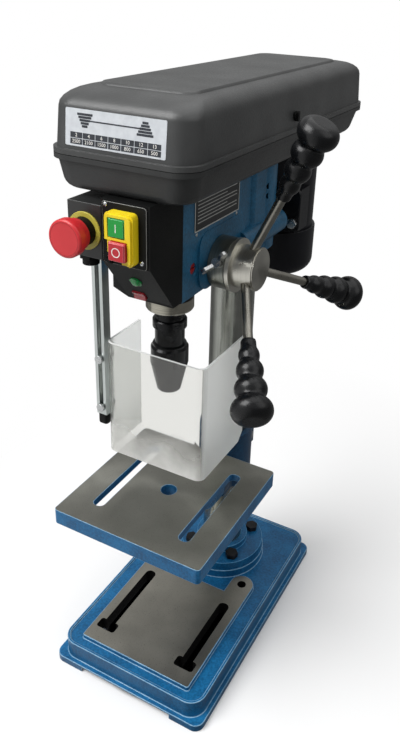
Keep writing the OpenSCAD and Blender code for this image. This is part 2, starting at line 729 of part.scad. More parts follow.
module return_spring() {
    n = 96;
    w = 0.7;
    function rr(k) = 7.8 + 11.5*k/n;
    color([0.45, 0.46, 0.48]) translate([0, feed_y, feed_z]) yz(-hx - 13, -hx - 4) polygon(concat(
        [for (k = [0:n]) let (a = k*15) [rr(k)*cos(a), rr(k)*sin(a)]],
        [for (k = [n:-1:0]) let (a = k*15) [(rr(k) + w)*cos(a), (rr(k) + w)*sin(a)]]));
}
module spring_nut() {
    color([0.6, 0.6, 0.62]) difference() {
        translate([-hx - 23.5, feed_y, feed_z]) rotate([0, 90, 0]) cylinder(d = 19/cos(30), h = 6, $fn = 6);
        cx(feed_y, feed_z, stub_r, -hx - 25, -hx - 16);
    }
}

// Pulley cover
module cover_slice(z, ix, f, b, r, s = 0) {
    translate([0, cover_cy + (f - b)/2, z]) linear_extrude(eps)
        rrect(cover_w - 2*ix - 2*s, cover_l - f - b - 2*s, r - s, $fn = 32);
}
module pan_form(s, zs) {
    hull($fn = 32) {
        for (a = [0:18:90]) cover_slice(pan_z + zs + 9*(1 - cos(a)), 12 - 6.5*sin(a), 9 - 5*sin(a),
            27 - 16*sin(a), 18 + sin(a), s);
        cover_slice(rim_z + (zs > 0 ? 1 : -4), 2.5, 2.5, 4, 19, s);
    }
}
module pulley_pan() {
    color([0.16, 0.16, 0.17]) difference() {
        union() {
            pan_form(0, 0);
            translate([0, cover_cy, rim_z - 4]) linear_extrude(4 - gap/2) rrect(cover_w, cover_l, 20);
            for (y = hinge_y) {
                cy(hinge_x, rim_z, 3.2, y - 18, y - 6);
                cy(hinge_x, rim_z, 3.2, y + 6, y + 18);
                for (j = [-18, 6])
                    box(hinge_x - 3.2, -cover_w/2 + 4, y + j, y + j + 12, rim_z - 4, rim_z - gap/2);
            }
        }
        difference() {
            pan_form(cover_t, 3);
            cz(0, spindle_y, 24, pan_z, pan_z + 4.6);
        }
        for (y = hinge_y) cy(hinge_x, rim_z, 1.5, y - 19, y + 19);
        for (y = hinge_y) box(hinge_x - 4, -cover_w/2 - gap, y - 6, y + 6, rim_z - 6, rim_z + 5);
        cz(0, spindle_y, 19, pan_z - 1, pan_z + 5);
        rbox(-12, 12, motor_y - 12 - tension, motor_y + 12, pan_z - 1, pan_z + 5, 11.5);
    }
}
module lid_form(s) {
    hull($fn = 32) {
        cover_slice(rim_z + (s > 0 ? -1 : 0), 2, 2, 2, 19, s);
        for (a = [0:15:90]) let (k = 1 - cos(a)) cover_slice(rim_z + lid_h - 16 - s + 13.6*sin(a),
            3.5 + 16.5*k, 5 + 30*k, 5 + 36*k, 19 - 4*k, s);
    }
}
module pulley_lid() {
    color([0.17, 0.17, 0.18]) difference() {
        union() {
            difference() {
                union() {
                    lid_form(0);
                    translate([0, cover_cy, rim_z + gap/2]) linear_extrude(4) rrect(cover_w, cover_l, 20);
                }
                box(-cover_w, cover_w, cover_y0 - 9, cover_y0 + cover_l + 9, rim_z - 9, rim_z + gap/2);
            }
            hull($fn = 32) {
                cover_slice(rim_z + lid_h - 4, 20.5, 36, 42, 14);
                cover_slice(rim_z + lid_h - 1.4, 22, 38, 44, 13);
                cover_slice(rim_z + lid_h - 0.4, 23, 39.5, 45.5, 12);
                cover_slice(rim_z + lid_h - eps, 25, 42, 48, 11);
            }
            for (y = hinge_y) {
                cy(hinge_x, rim_z, 3.2, y - 6 + gap, y + 6 - gap);
                box(hinge_x, -cover_w/2 + 4, y - 6 + gap, y + 6 - gap, rim_z + gap/2, rim_z + 3.2);
            }
        }
        lid_form(cover_t);
        for (y = hinge_y) cy(hinge_x, rim_z, 1.5 + run, y - 19, y + 19);
        for (y = hinge_y, j = [-18.2, 6 - gap])
            cy(hinge_x, rim_z, 3.2 + gap, y + j, y + j + 12.2 + gap);
        cx(latch_y, latch_z, 2.5 + run, cover_w/2 - 12, cover_w/2 + 2);
    }
}
module lid_hinge_pin() {
    color([0.6, 0.6, 0.62]) for (y = hinge_y) cy(hinge_x, rim_z, 1.5, y - 18, y + 18);
}
module lid_latch() {
    x0 = cover_w/2 - 2.4 + gap;
    color([0.05, 0.05, 0.05]) {
        cx(latch_y, latch_z, 2.5, x0 - 5.5, x0 + 1);
        cx(latch_y, latch_z, 4.2, x0, x0 + 1.6);
        translate([x0, latch_y, latch_z]) rotate([0, 90, 0]) linear_extrude(3.6) rrect(9, 3.6, 1.7);
        translate([x0 - 7.5, latch_y, latch_z - 1]) rotate([0, 90, 0]) linear_extrude(2) rrect(12, 6, 2.5);
    }
}

// Drive
module groove(r, z) {
    translate([0, 0, z]) rotate_extrude()
        polygon([[r + 1, 4.9], [r - 6.8, 2.9], [r - 6.8, -2.9], [r + 1, -4.9]]);
}
module pulley(flip) {
    difference() {
        union() for (k = [0:4]) cylinder_step(k, flip);
        for (k = [0:4]) groove(step_r[flip ? 4 - k : k], (k + 0.5)*step_h);
    }
}
module cylinder_step(k, flip) {
    translate([0, 0, k*step_h]) cylinder(r = step_r[flip ? 4 - k : k], h = step_h);
}
module sleeve_bearing() {
    color([0.65, 0.66, 0.68]) difference() {
        cz(0, spindle_y, 17.5, bearing_z, head_top - 1);
        cz(0, spindle_y, 8.5 + run, bearing_z - 1, head_top + 1);
    }
}
module spindle_pulley() {
    color([0.7, 0.71, 0.73]) difference() {
        union() {
            translate([0, spindle_y, pulley_z]) pulley(false);
            cz(0, spindle_y, 12, head_top, pulley_z + 1);
            cz(0, spindle_y, 8.5, bearing_z - 1, head_top + 1);
            cz(0, spindle_y, 11, pulley_z + 5*step_h - 1, pulley_z + 5*step_h + 4);
        }
        cz(0, spindle_y, 6 + run, bearing_z - 2, pulley_z + 5*step_h + 9);
    }
}
module belt_section() {
    polygon([[mid_r + 0.2, 4.1], [mid_r - 6, 2.35], [mid_r - 6, -2.35], [mid_r + 0.2, -4.1]]);
}
module drive_belt() {
    color([0.06, 0.06, 0.06]) translate([0, 0, belt_z]) {
        for (q = [[spindle_y, 180], [motor_y, 0]]) translate([0, q[0], 0]) rotate([0, 0, q[1]])
            rotate_extrude(angle = 180) belt_section();
        for (i = [0, 180]) translate([0, (spindle_y + motor_y)/2, 0]) rotate([0, 0, i])
            translate([0, belt_l/2, 0]) rotate([90, 0, 0]) linear_extrude(belt_l) belt_section();
    }
}
module motor_shell() {
    color([0.09, 0.09, 0.1]) difference() {
        union() {
            cz(0, motor_y, motor_d/2, bell_top, motor_top - 6);
            cz(0, motor_y, motor_d/2 - 5, bell_top, motor_top);
            box(2 - mount_w/2, mount_w/2 - 2, plate_y + 6, motor_y - 20, slide_z + 6 - mount_h/2,
                slide_z + 4 + mount_h/2);
        }
        cz(0, motor_y, bell_r + gap, bell_top - 60, bell_top);
        cz(0, motor_y, motor_d/2 - 5, bell_top - 1, motor_top - 12);
        cz(0, motor_y, 7 + run, motor_top - 20, motor_top + 1);
        for (i = [-1, 1]) cy(i*motor_bolt_x, motor_bolt_z, 3, plate_y + 5, plate_y + 20);
    }
}
module motor_bell() {
    color([0.08, 0.08, 0.09]) difference() {
        translate([0, motor_y, motor_bot]) rotate_extrude() {
            translate([0, bell_round]) square([bell_r, bell_top - motor_bot - bell_round]);
            square([bell_r - bell_round, bell_round + 1]);
            intersection() {
                translate([bell_r - bell_round, bell_round]) circle(bell_round);
                translate([bell_r - bell_round, 0]) square(bell_round);
            }
        }
        cz(0, motor_y, bell_r - 6, motor_bot + 24, bell_top + 1);
        box(-bell_r, bell_r, motor_y - bell_r - 1, plate_y + 6 + gap, slide_z - 18, bell_top + 1);
    }
}
module motor_plate() {
    color([0.09, 0.09, 0.1]) difference() {
        translate([0, plate_y + 6, 0]) rotate([90, 0, 0]) linear_extrude(6)
            translate([0, slide_z + 5]) rrect(mount_w, mount_h, 7);
        for (i = [-1, 1]) cy(i*motor_bolt_x, motor_bolt_z, 3, plate_y - 1, plate_y + 7);
    }
}
module motor_bolts() {
    color([0.7, 0.71, 0.73]) for (i = [-1, 1]) translate([i*motor_bolt_x, 0, motor_bolt_z]) {
        cy(0, 0, 3, plate_y - 1, plate_y + 18);
        translate([0, plate_y, 0]) rotate([90, 0, 0]) cylinder(d = 10/cos(30), h = 4.5, $fn = 6);
    }
}
module slide_rods() {
    color([0.7, 0.71, 0.73]) for (i = [-1, 1]) cy(i*slide_x, slide_z, slide_r, column_y - 36, plate_y);
}
module motor_shaft() {
    color([0.65, 0.66, 0.68]) {
        cz(0, motor_y, 7, motor_top - 11, pulley_z + 5*step_h + 4);
        cz(0, motor_y, 20, bell_top + 2, motor_top - 14);
        cz(0, motor_y, 6, motor_bot + 26, motor_top - 10);
    }
}
module motor_pulley() {
    color([0.7, 0.71, 0.73]) difference() {
        translate([0, motor_y, pulley_z]) pulley(true);
        cz(0, motor_y, 7, pulley_z - 1, pulley_z + 5*step_h + 1);
    }
}

// Table
module table_bracket() {
    z1 = sleeve_z + sleeve_h;
    y0 = tilt_y + 2;
    color([0.08, 0.17, 0.28]) difference() {
        union() {
            cz(0, column_y, sleeve_r, sleeve_z, z1);
            cy(0, tilt_z, 24, y0, y0 + 12);
            rbox(-20, 20, y0 + 4, column_y, tilt_z - 17, tilt_z + 17, 2);
            box(-ear_x, ear_x, column_y, column_y + sleeve_r + 18, clamp_z - ear_x, clamp_z + ear_x);
        }
        cz(0, column_y, column_d/2 + run, sleeve_z - 1, z1 + 1);
        box(-1.5, 1.5, column_y, column_y + sleeve_r + 30, sleeve_z - 1, z1 + 1);
        cx(clamp_y, clamp_z, clamp_r + run, -ear_x - 1, ear_x + 1);
        cy(0, tilt_z, 6, y0 - 1, y0 + 10);
    }
}
module table_clamp() {
    color([0.65, 0.66, 0.68]) {
        cx(clamp_y, clamp_z, clamp_r, tommy_x - 4, ear_x + 2);
        cx(clamp_y, clamp_z, 9, -ear_x - 5, -ear_x - gap);
        cx(clamp_y, clamp_z, 7.5, tommy_x - 6, tommy_x + 6);
        cz(tommy_x, clamp_y, 3.2, clamp_z - 30, clamp_z + 30);
        for (z = [-30, 30]) translate([tommy_x, clamp_y, clamp_z + z]) sphere(r = tommy_ball);
    }
}
module tilt_bolt() {
    color([0.6, 0.6, 0.62]) {
        cy(0, tilt_z, 6, tilt_y - 19, tilt_y + 11);
        translate([0, tilt_y - 18 - gap, tilt_z]) rotate([90, 0, 0]) cylinder(d = 19/cos(30), h = 8, $fn = 6);
    }
}
module table() {
    h = table_w/2;
    z0 = table_z - table_t;
    color([0.5, 0.53, 0.56]) difference() {
        union() {
            difference() {
                translate([0, spindle_y, z0]) linear_extrude(table_t) rrect(table_w, table_w, table_r);
                translate([0, spindle_y, z0 - 1]) linear_extrude(table_t - 7)
                    rrect(table_w - 14, table_w - 14, 5);
            }
            cz(0, spindle_y, 17, z0, table_z - 4);
            for (i = [-1, 1]) box(i*22 - 3, i*22 + 3, spindle_y - h + 3, spindle_y + h - 3, z0, table_z - 4);
            cy(0, tilt_z, 24, tilt_y - 18, tilt_y + 2 - gap);
            box(-17, 17, tilt_y - 18, tilt_y + 2 - gap, tilt_z, table_z - 4);
        }
        cz(0, spindle_y, table_hole_d/2, z0 - 1, table_z + 1);
        for (i = [-1, 1]) translate([i*slot_x, spindle_y, 0])
            rbox(-slot_w/2, slot_w/2, -55, 55, z0 - 1, table_z + 1, slot_w/2 - 0.5);
        cy(0, tilt_z, 6 + run, tilt_y - 20, tilt_y + 5);
    }
}

base();
column_flange();
flange_bolts();
column();
head_casting();
column_screws();
nose_ring();
sealed_screw();
switch_housing();
switch_plate();
switch_frame();
start_button();
stop_button();
power_lamp();
lamp_rocker();
estop_box();
estop_ring();
estop_collar();
estop_button();
cable_gland();
guard_block();
guard_link();
guard_bar();
bar_cap();
guard_shell();
guard_screws();
quill();
spindle();
chuck_body();
chuck_sleeve();
chuck_jaw_1();
chuck_jaw_2();
chuck_jaw_3();
feed_shaft();
feed_hub();
feed_rods();
feed_grips();
depth_ring();
depth_screw();
spring_cap();
return_spring();
spring_nut();
pulley_pan();
pulley_lid();
lid_hinge_pin();
lid_latch();
sleeve_bearing();
spindle_pulley();
drive_belt();
motor_shell();
motor_bell();
motor_plate();
motor_bolts();
slide_rods();
motor_shaft();
motor_pulley();
table_bracket();
table_clamp();
tilt_bolt();
table();
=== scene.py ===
# Benchtop drill press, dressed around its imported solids.
# Metres in the scene, millimetres in the named sizes. +X is the operator's right, +Y the rear, +Z up.
import json
import math

import bmesh
import bpy
from mathutils import Matrix, Vector
from mathutils.bvhtree import BVHTree


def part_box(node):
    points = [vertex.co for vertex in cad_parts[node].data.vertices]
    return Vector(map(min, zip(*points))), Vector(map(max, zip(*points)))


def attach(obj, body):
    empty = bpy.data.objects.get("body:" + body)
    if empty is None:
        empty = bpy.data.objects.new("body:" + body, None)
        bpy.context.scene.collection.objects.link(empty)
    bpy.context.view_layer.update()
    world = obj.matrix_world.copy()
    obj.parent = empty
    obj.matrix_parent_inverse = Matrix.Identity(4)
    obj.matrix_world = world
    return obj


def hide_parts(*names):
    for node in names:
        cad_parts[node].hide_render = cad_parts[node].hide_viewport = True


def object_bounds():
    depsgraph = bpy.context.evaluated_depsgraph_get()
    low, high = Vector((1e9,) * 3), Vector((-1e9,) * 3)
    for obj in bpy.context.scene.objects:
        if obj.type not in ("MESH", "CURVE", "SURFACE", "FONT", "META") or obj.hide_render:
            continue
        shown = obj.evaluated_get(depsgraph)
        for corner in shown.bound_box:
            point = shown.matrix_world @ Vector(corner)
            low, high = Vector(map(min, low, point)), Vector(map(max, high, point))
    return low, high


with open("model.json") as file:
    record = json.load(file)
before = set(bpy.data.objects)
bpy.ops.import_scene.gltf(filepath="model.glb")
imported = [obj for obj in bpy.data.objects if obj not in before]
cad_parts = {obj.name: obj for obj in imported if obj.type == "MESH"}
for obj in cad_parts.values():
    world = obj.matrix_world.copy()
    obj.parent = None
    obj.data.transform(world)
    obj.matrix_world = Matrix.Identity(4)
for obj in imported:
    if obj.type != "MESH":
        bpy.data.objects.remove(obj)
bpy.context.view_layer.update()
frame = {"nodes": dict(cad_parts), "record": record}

MM = 0.001
UP = Vector((0, 0, 1))
RIGHT = Vector((1, 0, 0))
BACK = Vector((0, 1, 0))
# Edges sharper than this are hard, and faces that turn less than FLAT_TURN are one
HARD_EDGE = math.radians(32)
FLAT_TURN = math.radians(0.4)
WELD = 1e-6
NODES = frame["nodes"]
BODY_OF = {node: body for body, nodes in frame["record"]["behaviour"]["bodies"].items() for node in nodes}


# Colours and shader nodes
def linear(code):
    """Turns an sRGB hex value such as 1f5f93 into a linear RGBA colour."""
    steps = [int(code[i:i + 2], 16)/255 for i in (0, 2, 4)]
    return [s/12.92 if s <= 0.04045 else ((s + 0.055)/1.055)**2.4 for s in steps] + [1.0]


def add(tree, kind, sockets=None, **settings):
    """Adds a node with its settings, sets or links its sockets, and gives its outputs."""
    node = tree.nodes.new(kind)
    for name, value in settings.items():
        setattr(node, name, value)
    for key, value in (sockets or {}).items():
        if isinstance(value, bpy.types.NodeSocket):
            tree.links.new(value, node.inputs[key])
        else:
            node.inputs[key].default_value = value
    return node.outputs


def new_material(name):
    """An empty material, its node tree, and the place of a point on its piece."""
    material = bpy.data.materials.new(name)
    material.use_nodes = True
    tree = material.node_tree
    tree.nodes.clear()
    return material, tree, add(tree, "ShaderNodeTexCoord")["Object"]


def per_mm(size):
    """Texture scale for a pattern that repeats about every size millimetres."""
    return 1/(size*MM)


# Finishes
def hammered_enamel(name, dark, light, rough=0.36):
    # Enamel sprayed on sand-cast iron: glossy over a pebbled skin, and uneven in tone where it lies thin.
    # The pebbles are about 1 mm across and are drawn at 1.6 mm so that they show.
    material, tree, place = new_material(name)
    drift = add(tree, "ShaderNodeTexNoise", {"Vector": place, "Scale": per_mm(24), "Detail": 3.0})[0]
    speck = add(tree, "ShaderNodeTexNoise", {"Vector": place, "Scale": per_mm(2.4), "Detail": 2.0})[0]
    pebble = add(tree, "ShaderNodeTexVoronoi", {"Vector": place, "Scale": per_mm(1.6)},
                 feature="SMOOTH_F1")[0]
    both = add(tree, "ShaderNodeMath", {0: drift, 1: speck}, operation="ADD")[0]
    tone = add(tree, "ShaderNodeMapRange", {0: both, 1: 0.76, 2: 1.24})[0]
    colour = add(tree, "ShaderNodeMix", {0: tone, 6: linear(dark), 7: linear(light)}, data_type="RGBA")[2]
    gloss = add(tree, "ShaderNodeMapRange", {0: speck, 3: rough*0.8, 4: rough*1.2})[0]
    skin = add(tree, "ShaderNodeBump", {"Height": pebble, "Distance": 0.16*MM, "Strength": 0.8})[0]
    shader = add(tree, "ShaderNodeBsdfPrincipled", {
        "Base Color": colour, "Roughness": gloss, "Normal": skin, "IOR": 1.5, "Specular IOR Level": 0.28,
        "Coat Weight": 0.06, "Coat Roughness": 0.15})[0]
    add(tree, "ShaderNodeOutputMaterial", {"Surface": shader})
    return material


def faced_iron(name, dark, light, centre_mm, spread):
    # Cast iron faced on a lathe: grey satin metal with fine rings round a centre, and a few open pores.
    # The rings spread each highlight into a fan. They are 0.1 mm apart and are drawn at 0.7 mm.
    # The pores are 0.3 mm and are drawn at 0.9 mm. A far centre gives the straight lines of a ground face.
    material, tree, place = new_material(name)
    arm = add(tree, "ShaderNodeVectorMath", {0: place, 1: [c*MM for c in centre_mm]}, operation="SUBTRACT")[0]
    radius = add(tree, "ShaderNodeVectorMath", {0: arm}, operation="LENGTH")["Value"]
    round_way = add(tree, "ShaderNodeVectorMath", {0: arm, 1: UP}, operation="CROSS_PRODUCT")[0]
    ring = add(tree, "ShaderNodeCombineXYZ", {0: radius})[0]
    marks = add(tree, "ShaderNodeTexNoise", {"Vector": ring, "Scale": per_mm(0.7), "Detail": 3.0})[0]
    cloud = add(tree, "ShaderNodeTexNoise", {"Vector": place, "Scale": per_mm(34), "Detail": 4.0})[0]
    pores = add(tree, "ShaderNodeTexNoise", {"Vector": place, "Scale": per_mm(0.9), "Detail": 1.0})[0]
    some = add(tree, "ShaderNodeMath", {0: marks, 1: 0.45}, operation="MULTIPLY")[0]
    both = add(tree, "ShaderNodeMath", {0: cloud, 1: some}, operation="ADD")[0]
    tone = add(tree, "ShaderNodeMapRange", {0: both, 1: 0.35, 2: 1.1})[0]
    ground = add(tree, "ShaderNodeMix", {0: tone, 6: linear(dark), 7: linear(light)}, data_type="RGBA")[2]
    open_pore = add(tree, "ShaderNodeMapRange", {0: pores, 1: 0.66, 2: 0.74, 3: 0.0, 4: 0.5})[0]
    colour = add(tree, "ShaderNodeMix", {0: open_pore, 6: ground, 7: linear("3a3a37")}, data_type="RGBA")[2]
    gloss = add(tree, "ShaderNodeMapRange", {0: cloud, 1: 0.3, 2: 0.7, 3: 0.36, 4: 0.44})[0]
    skin = add(tree, "ShaderNodeBump", {"Height": marks, "Distance": 0.02*MM, "Strength": 0.4})[0]
    shader = add(tree, "ShaderNodeBsdfPrincipled", {
        "Base Color": colour, "Roughness": gloss, "Normal": skin, "Metallic": 1.0, "Anisotropic": spread,
        "Tangent": round_way})[0]
    add(tree, "ShaderNodeOutputMaterial", {"Surface": shader})
    return material


def machined_steel(name, dark, light, rough, mark_mm, stretch):
    # Steel turned or drawn to size: clear reflections broken by fine rings or draw lines and a thin oil film.
    # The marks are under 0.1 mm apart and are drawn at mark_mm. stretch says how much longer they run on
    # each axis.
    material, tree, place = new_material(name)
    scale = [per_mm(mark_mm*s) for s in stretch]
    along = add(tree, "ShaderNodeMapping", {"Vector": place, "Scale": scale})[0]
    marks = add(tree, "ShaderNodeTexNoise", {"Vector": along, "Scale": 1.0, "Detail": 3.0})[0]
    film = add(tree, "ShaderNodeTexNoise", {"Vector": place, "Scale": per_mm(16), "Detail": 3.0})[0]
    some = add(tree, "ShaderNodeMath", {0: film, 1: 0.6}, operation="MULTIPLY")[0]
    both = add(tree, "ShaderNodeMath", {0: marks, 1: some}, operation="ADD")[0]
    tone = add(tree, "ShaderNodeMapRange", {0: both, 1: 0.55, 2: 1.05})[0]
    colour = add(tree, "ShaderNodeMix", {0: tone, 6: linear(dark), 7: linear(light)}, data_type="RGBA")[2]
    gloss = add(tree, "ShaderNodeMapRange", {0: film, 1: 0.3, 2: 0.7, 3: rough*0.8, 4: rough*1.25})[0]
    skin = add(tree, "ShaderNodeBump", {"Height": marks, "Distance": 0.012*MM, "Strength": 0.35})[0]
    shader = add(tree, "ShaderNodeBsdfPrincipled", {
        "Base Color": colour, "Roughness": gloss, "Normal": skin, "Metallic": 1.0})[0]
    add(tree, "ShaderNodeOutputMaterial", {"Surface": shader})
    return material


def black_oxide(name, dark, light, rough):
    # Steel blackened in a hot bath and oiled: deep black with an uneven sheen and paler rubbed patches.
    # The oil lies in patches of about 10 mm over a grain of 0.2 mm, which is drawn at 0.9 mm.
    material, tree, place = new_material(name)
    oil = add(tree, "ShaderNodeTexNoise", {"Vector": place, "Scale": per_mm(10), "Detail": 5.0})[0]
    grain = add(tree, "ShaderNodeTexNoise", {"Vector": place, "Scale": per_mm(0.9), "Detail": 2.0})[0]
    tone = add(tree, "ShaderNodeMapRange", {0: oil, 1: 0.35, 2: 0.75})[0]
    colour = add(tree, "ShaderNodeMix", {0: tone, 6: linear(dark), 7: linear(light)}, data_type="RGBA")[2]
    gloss = add(tree, "ShaderNodeMapRange", {0: oil, 1: 0.3, 2: 0.7, 3: rough*0.75, 4: rough*1.3})[0]
    skin = add(tree, "ShaderNodeBump", {"Height": grain, "Distance": 0.02*MM, "Strength": 0.3})[0]
    shader = add(tree, "ShaderNodeBsdfPrincipled", {
        "Base Color": colour, "Roughness": gloss, "Normal": skin, "Metallic": 0.2,
        "Specular IOR Level": 0.2})[0]
    add(tree, "ShaderNodeOutputMaterial", {"Surface": shader})
    return material


def moulded_plastic(name, dark, light, rough, grain_mm, depth_mm, specular=0.5):
    # Plastic from a mould whose walls were etched: an even colour, a fine grain and a soft sheen.
    # Flow marks are about 35 mm wide. The grain, under 0.5 mm, is drawn at grain_mm. Thick paint, lacquer and
    # rubber have the same even skin and are made here too.
    material, tree, place = new_material(name)
    flow = add(tree, "ShaderNodeTexNoise", {"Vector": place, "Scale": per_mm(35), "Detail": 3.0})[0]
    grain = add(tree, "ShaderNodeTexNoise", {"Vector": place, "Scale": per_mm(grain_mm), "Detail": 3.0})[0]
    tone = add(tree, "ShaderNodeMapRange", {0: flow, 1: 0.3, 2: 0.7})[0]
    colour = add(tree, "ShaderNodeMix", {0: tone, 6: linear(dark), 7: linear(light)}, data_type="RGBA")[2]
    gloss = add(tree, "ShaderNodeMapRange", {0: grain, 1: 0.3, 2: 0.7, 3: rough*0.85, 4: rough*1.15})[0]
    skin = add(tree, "ShaderNodeBump", {"Height": grain, "Distance": depth_mm*MM, "Strength": 0.6})[0]
    shader = add(tree, "ShaderNodeBsdfPrincipled", {
        "Base Color": colour, "Roughness": gloss, "Normal": skin, "IOR": 1.53,
        "Specular IOR Level": specular})[0]
    add(tree, "ShaderNodeOutputMaterial", {"Surface": shader})
    return material


# Heights in millimetres between which the guard goes from milky to clear, and how unevenly
HAZE_Z = (270.0, 315.0)
HAZE_DRIFT = 40.0


def clear_polycarbonate(name, code, clear, milky, rough):
    # Bent polycarbonate sheet after some use: see-through above, and milky near the work, where chips have
    # scoured it. The scratches are hair thin and are drawn as streaks of 1.2 mm.
    material, tree, place = new_material(name)
    haze = add(tree, "ShaderNodeTexNoise", {"Vector": place, "Scale": per_mm(30), "Detail": 4.0})[0]
    lean = add(tree, "ShaderNodeMapping", {
        "Vector": place, "Rotation": (0.4, 0.7, 0.2), "Scale": (per_mm(30), per_mm(1.2), per_mm(1.2))})[0]
    scratch = add(tree, "ShaderNodeTexNoise", {"Vector": lean, "Scale": 1.0, "Detail": 2.0})[0]
    height = add(tree, "ShaderNodeSeparateXYZ", {0: place})["Z"]
    uneven = add(tree, "ShaderNodeMath", {0: haze, 1: HAZE_DRIFT*MM, 2: height}, operation="MULTIPLY_ADD")[0]
    through = add(tree, "ShaderNodeMapRange", {
        0: uneven, 1: HAZE_Z[0]*MM, 2: HAZE_Z[1]*MM, 3: milky, 4: clear})[0]
    gloss = add(tree, "ShaderNodeMapRange", {0: scratch, 1: 0.3, 2: 0.75, 3: rough*0.85, 4: rough*1.15})[0]
    shader = add(tree, "ShaderNodeBsdfPrincipled", {
        "Base Color": linear(code), "Roughness": gloss, "Transmission Weight": through, "IOR": 1.45})[0]
    add(tree, "ShaderNodeOutputMaterial", {"Surface": shader})
    return material


def tinted_lens(name, dark, light):
    # Tinted acrylic of an indicator that is off: deep colour, hard gloss, and a little light through it.
    # Its prisms are 0.6 mm wide and are drawn at 1 mm.
    material, tree, place = new_material(name)
    prisms = add(tree, "ShaderNodeTexVoronoi", {"Vector": place, "Scale": per_mm(1.0)})[0]
    colour = add(tree, "ShaderNodeMix", {0: prisms, 6: linear(dark), 7: linear(light)}, data_type="RGBA")[2]
    gloss = add(tree, "ShaderNodeMapRange", {0: prisms, 3: 0.08, 4: 0.2})[0]
    shader = add(tree, "ShaderNodeBsdfPrincipled", {
        "Base Color": colour, "Roughness": gloss, "IOR": 1.49, "Transmission Weight": 0.3,
        "Coat Weight": 0.5})[0]
    add(tree, "ShaderNodeOutputMaterial", {"Surface": shader})
    return material


def printed_ink(name, dark, light, rough):
    # Screen-printed foil: flat ink, slightly uneven, with a low sheen. The unevenness is about 5 mm wide.
    material, tree, place = new_material(name)
    cloud = add(tree, "ShaderNodeTexNoise", {"Vector": place, "Scale": per_mm(5), "Detail": 4.0})[0]
    tone = add(tree, "ShaderNodeMapRange", {0: cloud, 1: 0.3, 2: 0.7})[0]
    colour = add(tree, "ShaderNodeMix", {0: tone, 6: linear(dark), 7: linear(light)}, data_type="RGBA")[2]
    gloss = add(tree, "ShaderNodeMapRange", {0: cloud, 3: rough*0.9, 4: rough*1.1})[0]
    shader = add(tree, "ShaderNodeBsdfPrincipled", {"Base Color": colour, "Roughness": gloss, "IOR": 1.48})[0]
    add(tree, "ShaderNodeOutputMaterial", {"Surface": shader})
    return material


# How much longer tool marks run on X, Y and Z: round a turned piece's axis, or along a drawn bar
ROUND_X = (1, 60, 60)
ROUND_Z = (60, 60, 1)
ALONG_Z = (1, 1, 80)
EVEN = (1, 1, 1)
